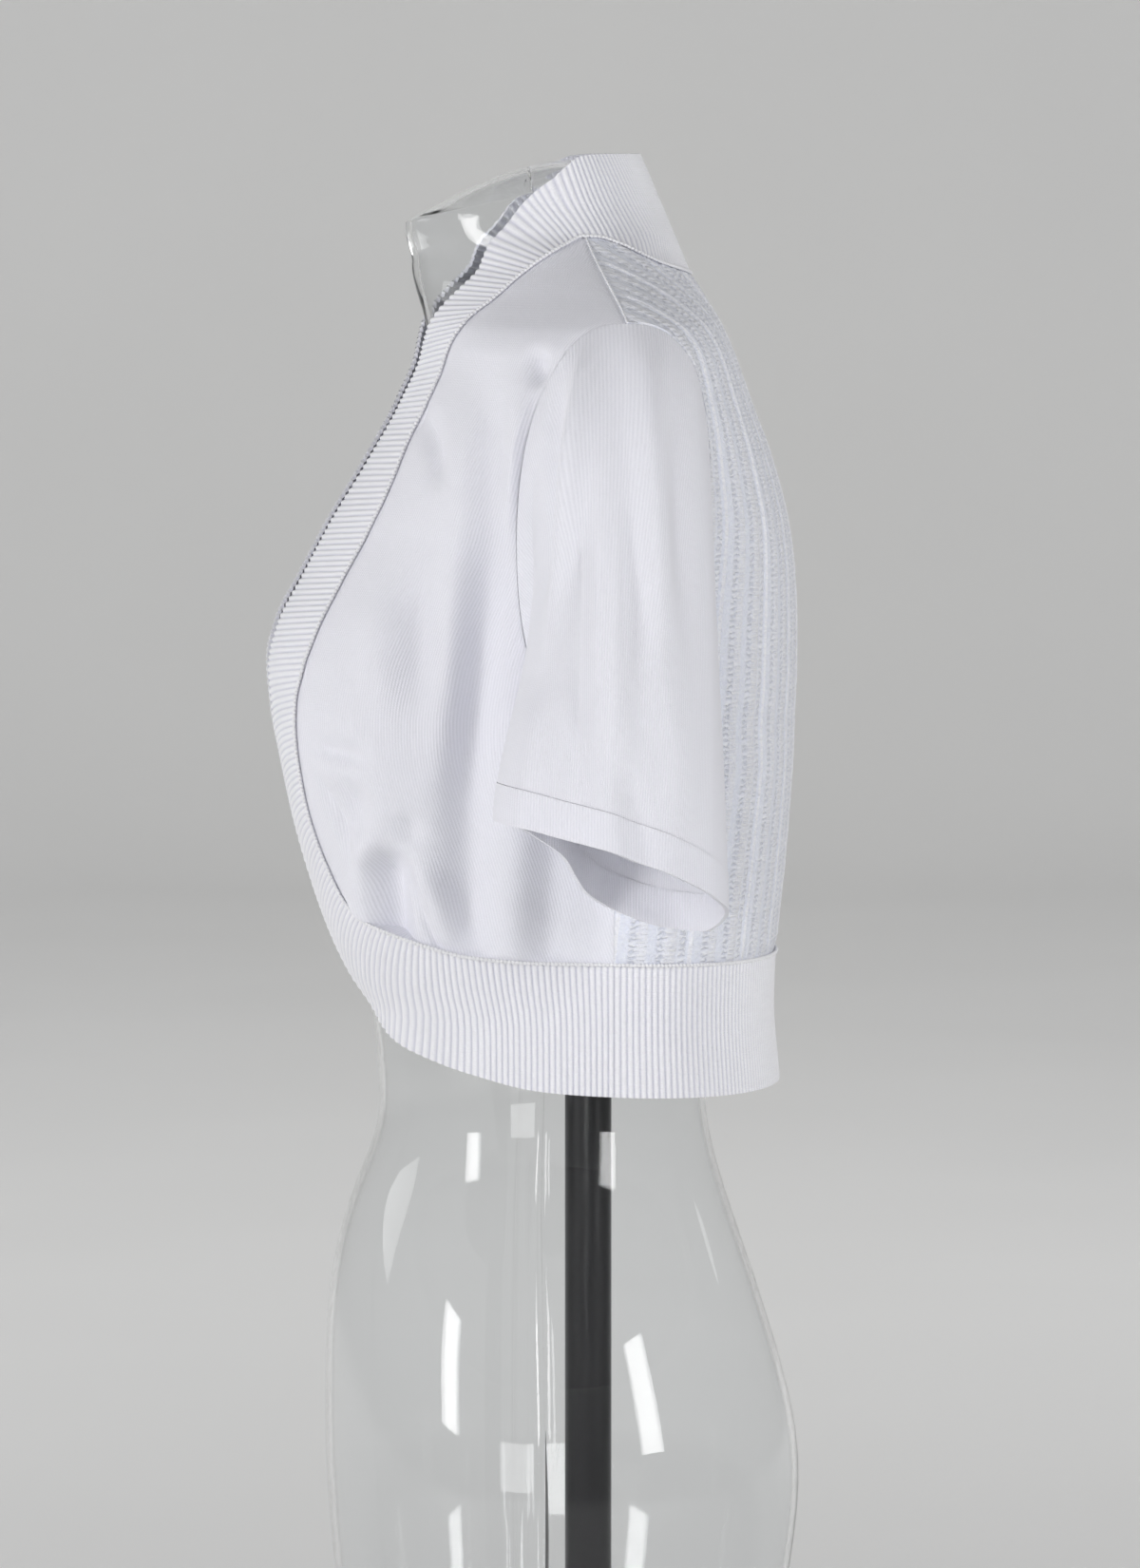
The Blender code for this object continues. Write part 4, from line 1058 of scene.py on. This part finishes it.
plastic, _, shader = new_material(
    "clear_moulded_plastic", 0.02, Transmission_Weight=1.0, IOR=1.03, Coat_Weight=0.45
)
shader.inputs["Base Color"].default_value = PLASTIC_COLOUR
for half in ("front", "back"):
    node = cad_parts[f"form_{half}"]
    shell = bpy.data.objects.new(f"clear_form_{half}", node.data.copy())
    bpy.context.scene.collection.objects.link(shell)
    deselect()
    shell.select_set(True)
    bpy.context.view_layer.objects.active = shell
    bpy.ops.object.mode_set(mode="EDIT")
    bpy.ops.mesh.select_all(action="SELECT")
    bpy.ops.mesh.remove_doubles(threshold=WELD * MM)
    bpy.ops.mesh.tris_convert_to_quads(face_threshold=radians(60), shape_threshold=radians(80))
    bpy.ops.object.mode_set(mode="OBJECT")
    crease_rims(shell.data)
    moulded = np.array([vertex.co for vertex in shell.data.vertices])
    ahead = np.clip((FORM_JOIN_Y - moulded[:, 1] / MM) / NECK_REACH, 0, 1) ** 2
    band = np.exp(-(((moulded[:, 2] / MM - NECK_FILL_HEIGHT) / NECK_FILL_SPREAD) ** 2))
    moulded[:, 1] -= NECK_FILL * MM * ahead * band
    pushed_out = 2 * moulded - smoothed_places(shell.data)
    shell.data.vertices.foreach_set("co", pushed_out.ravel())
    bpy.context.view_layer.objects.active = shell
    apply_modifier(shell, "SUBSURF", levels=2, render_levels=2)
    bpy.ops.object.shade_smooth_by_angle(angle=radians(RIM_ANGLE))
    shell.data.materials.clear()
    shell.data.materials.append(plastic)
    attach(shell, "root")
    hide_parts(f"form_{half}")
    shell.visible_shadow = False

# ---- The stand ---------------------------------------------------------------------------------
# A black lacquered steel pole stands in a flange on a round base plate. It runs up through the
# open bottom of the form, and its thin spigot carries the form under the neck cap.

POLE_SIDES = 96
BASE_SIDES = 160
LACQUER_COLOURS = (0.004, 0.004, 0.005), (0.010, 0.010, 0.011)


def lacquer_material():
    material, tree, shader = new_material(
        "black_lacquer_finish", 0.3, Specular_IOR_Level=0.3, Coat_Weight=0.15, Coat_Roughness=0.15
    )
    place = tree.nodes.new("ShaderNodeTexCoord").outputs["Object"]
    speckle = noise(tree, place, 1.5)
    colour = blend_colours(tree, speckle, *LACQUER_COLOURS)
    tree.links.new(colour, shader.inputs["Base Color"])
    add_bump(tree, shader, speckle, 0.04)
    return material


lacquer = lacquer_material()


def turned(name, profile, sides, node):
    """A solid turned round the pole's axis, from radii and heights."""
    deselect()
    bpy.ops.mesh.primitive_circle_add(vertices=len(profile), radius=1.0)
    piece = bpy.context.object
    piece.name = piece.data.name = name
    for vertex, (radius, height) in zip(piece.data.vertices, profile):
        vertex.co = (radius * MM, 0, height * MM)
    bpy.ops.object.mode_set(mode="EDIT")
    bpy.ops.mesh.select_all(action="SELECT")
    bpy.ops.mesh.spin(steps=sides, angle=tau, center=(0, 0, 0), axis=(0, 0, 1))
    bpy.ops.mesh.select_all(action="SELECT")
    bpy.ops.mesh.remove_doubles(threshold=WELD * MM)
    bpy.ops.mesh.delete_loose()
    bpy.ops.mesh.select_all(action="SELECT")
    bpy.ops.mesh.normals_make_consistent(inside=False)
    bpy.ops.object.mode_set(mode="OBJECT")
    bpy.ops.object.shade_smooth_by_angle(angle=radians(35))
    piece.data.materials.append(lacquer)
    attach(piece, "root")
    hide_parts(node)


def rounded(radius, height, inward, upward, size=1.5, steps=4):
    """Points round an outer corner of a profile, from its side to its top, or the other way."""
    turns = [pi / 2 * k / steps for k in range(steps + 1)]
    points = [
        (radius - size + size * cos(turn), height - upward * (size - size * sin(turn)))
        for turn in turns
    ]
    return points if inward else points[::-1]


pole_low, pole_high = [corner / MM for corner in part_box("pole")]
base_low, base_high = [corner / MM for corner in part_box("base_plate")]
flange_low, flange_high = [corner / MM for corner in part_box("pole_flange")]
SPIGOT_START = 896.0
SPIGOT_RADIUS = 5.0
SPIGOT_SLOPE = 2.8
FLANGE_BORE = pole_high.x + 0.3
FLANGE_RIM_HEIGHT = 4.0
FLANGE_RIM_ROUNDING = 0.6
FLANGE_NECK_WALL = 5.0
FLANGE_NECK_BEVEL = 1.0

turned(
    "lacquered_pole",
    [(0, pole_low.z)]
    + rounded(pole_high.x, pole_low.z, False, -1)
    + rounded(pole_high.x, SPIGOT_START, True, 1)
    + [
        (SPIGOT_RADIUS, SPIGOT_START),
        (SPIGOT_RADIUS, pole_high.z - SPIGOT_SLOPE),
        (0, pole_high.z - SPIGOT_SLOPE),
    ],
    POLE_SIDES,
    "pole",
)
turned(
    "lacquered_flange",
    [(FLANGE_BORE, flange_low.z)]
    + rounded(flange_high.x, flange_low.z, False, -1, FLANGE_RIM_ROUNDING)
    + rounded(flange_high.x, flange_low.z + FLANGE_RIM_HEIGHT, True, 1)
    + [
        (pole_high.x + FLANGE_NECK_WALL, flange_high.z - FLANGE_NECK_BEVEL),
        (pole_high.x + FLANGE_NECK_WALL - FLANGE_NECK_BEVEL, flange_high.z),
        (FLANGE_BORE, flange_high.z),
    ],
    POLE_SIDES,
    "pole_flange",
)
turned(
    "lacquered_base",
    [(0, base_low.z)]
    + rounded(base_high.x, base_low.z, False, -1)
    + rounded(base_high.x, base_high.z, True, 1)
    + [(0, base_high.z)],
    BASE_SIDES,
    "base_plate",
)

# ---- The studio --------------------------------------------------------------------------------
# A round pale floor of paper that sweeps up into a round wall, softboxes on both sides of the
# camera, and a long lens at the height of the bolero, looking slightly down at the wearer's left
# side. Its sizes are in metres, apart from the grain of the paper.

FLOOR_RADIUS = 6.3
SWEEP_RADIUS = 1.2
SWEEP_SIDES = 96
SWEEP_STEPS = 16
WALL_TOP = 3.5
PAPER_COLOURS = (0.77, 0.77, 0.765), (0.80, 0.80, 0.795)
PAPER_GRAIN = 400.0
AIR_LIGHT = 0.22
CAMERA_AZIMUTH = radians(87)
CAMERA_RISE = radians(4.5)
CAMERA_DISTANCE = 4.2
FRAME_HEIGHT = 0.792
SENSOR_HEIGHT = 24
AIM_RIGHT = -0.00912
AIM_UP = 0.6264

deselect()
profile = [(0.0, 0.0), (FLOOR_RADIUS, 0.0)]
for k in range(1, SWEEP_STEPS + 1):
    turn = pi / 2 * k / SWEEP_STEPS
    profile.append((FLOOR_RADIUS + SWEEP_RADIUS * sin(turn), SWEEP_RADIUS * (1 - cos(turn))))
profile.append((FLOOR_RADIUS + SWEEP_RADIUS, WALL_TOP))
bpy.ops.mesh.primitive_grid_add(
    x_subdivisions=SWEEP_SIDES, y_subdivisions=len(profile) - 1, size=1
)
sweep = bpy.context.object
sweep.name = "pale_floor"
turns = [-tau * k / SWEEP_SIDES for k in range(SWEEP_SIDES + 1)]
rows = [(out * cos(turn), out * sin(turn), z) for out, z in profile for turn in turns]
sweep.data.vertices.foreach_set("co", np.array(rows).ravel())
bpy.ops.object.shade_smooth()
paper, tree, shader = new_material("pale_paper", 0.9)
place = tree.nodes.new("ShaderNodeTexCoord").outputs["Object"]
grain = noise(tree, place, PAPER_GRAIN, 1.0)
colour = blend_colours(tree, grain, *PAPER_COLOURS)
tree.links.new(colour, shader.inputs["Base Color"])
sweep.data.materials.append(paper)

forward = Vector(
    (
        -sin(CAMERA_AZIMUTH) * cos(CAMERA_RISE),
        cos(CAMERA_AZIMUTH) * cos(CAMERA_RISE),
        -sin(CAMERA_RISE),
    )
)
rightward = Vector((cos(CAMERA_AZIMUTH), sin(CAMERA_AZIMUTH), 0))
upward = rightward.cross(forward)
aim = rightward * AIM_RIGHT + upward * AIM_UP
bpy.ops.object.camera_add(location=aim - forward * CAMERA_DISTANCE)
camera = bpy.context.object
camera.rotation_euler = forward.to_track_quat("-Z", "Y").to_euler()
camera.data.sensor_fit = "VERTICAL"
camera.data.sensor_height = SENSOR_HEIGHT
camera.data.lens = SENSOR_HEIGHT * CAMERA_DISTANCE / FRAME_HEIGHT
bpy.context.scene.camera = camera

Softbox = namedtuple("Softbox", "name place target width height watts reflected")
BOLERO = (0, 0, 0.7)
SOFTBOXES = [
    Softbox("softbox_front", (1.5, -2.6, 1.3), BOLERO, 0.65, 1.3, 39, True),
    Softbox("softbox_back", (2.0, 2.2, 1.3), BOLERO, 0.65, 1.3, 36, True),
    Softbox("camera_side_fill", (3.6, -0.9, 0.55), (0, 0, 0.65), 1.0, 0.8, 22, False),
    Softbox("far_side_fill", (-2.4, 2.3, 1.6), BOLERO, 1.2, 1.2, 12, False),
    Softbox("far_front_fill", (-2.0, -2.6, 1.6), BOLERO, 1.2, 1.2, 16, False),
    Softbox("backdrop_wash", (-2.6, 0, 4.4), (-7.5, 0, 1.0), 3.0, 3.0, 105, False),
]
for box in SOFTBOXES:
    bpy.ops.object.light_add(type="AREA", location=box.place)
    light = bpy.context.object
    light.name = box.name
    light.data.shape = "RECTANGLE"
    light.data.size = box.width
    light.data.size_y = box.height
    light.data.energy = box.watts
    facing = Vector(box.target) - Vector(box.place)
    light.rotation_euler = facing.to_track_quat("-Z", "Y").to_euler()
    light.visible_camera = False
    light.visible_glossy = box.reflected

world = bpy.data.worlds.new("studio_air")
bpy.context.scene.world = world
world.use_nodes = True
air = world.node_tree.nodes["Background"]
air.inputs["Color"].default_value = (1.0, 1.0, 1.0, 1.0)
air.inputs["Strength"].default_value = AIR_LIGHT
bpy.context.scene.view_settings.view_transform = "Standard"
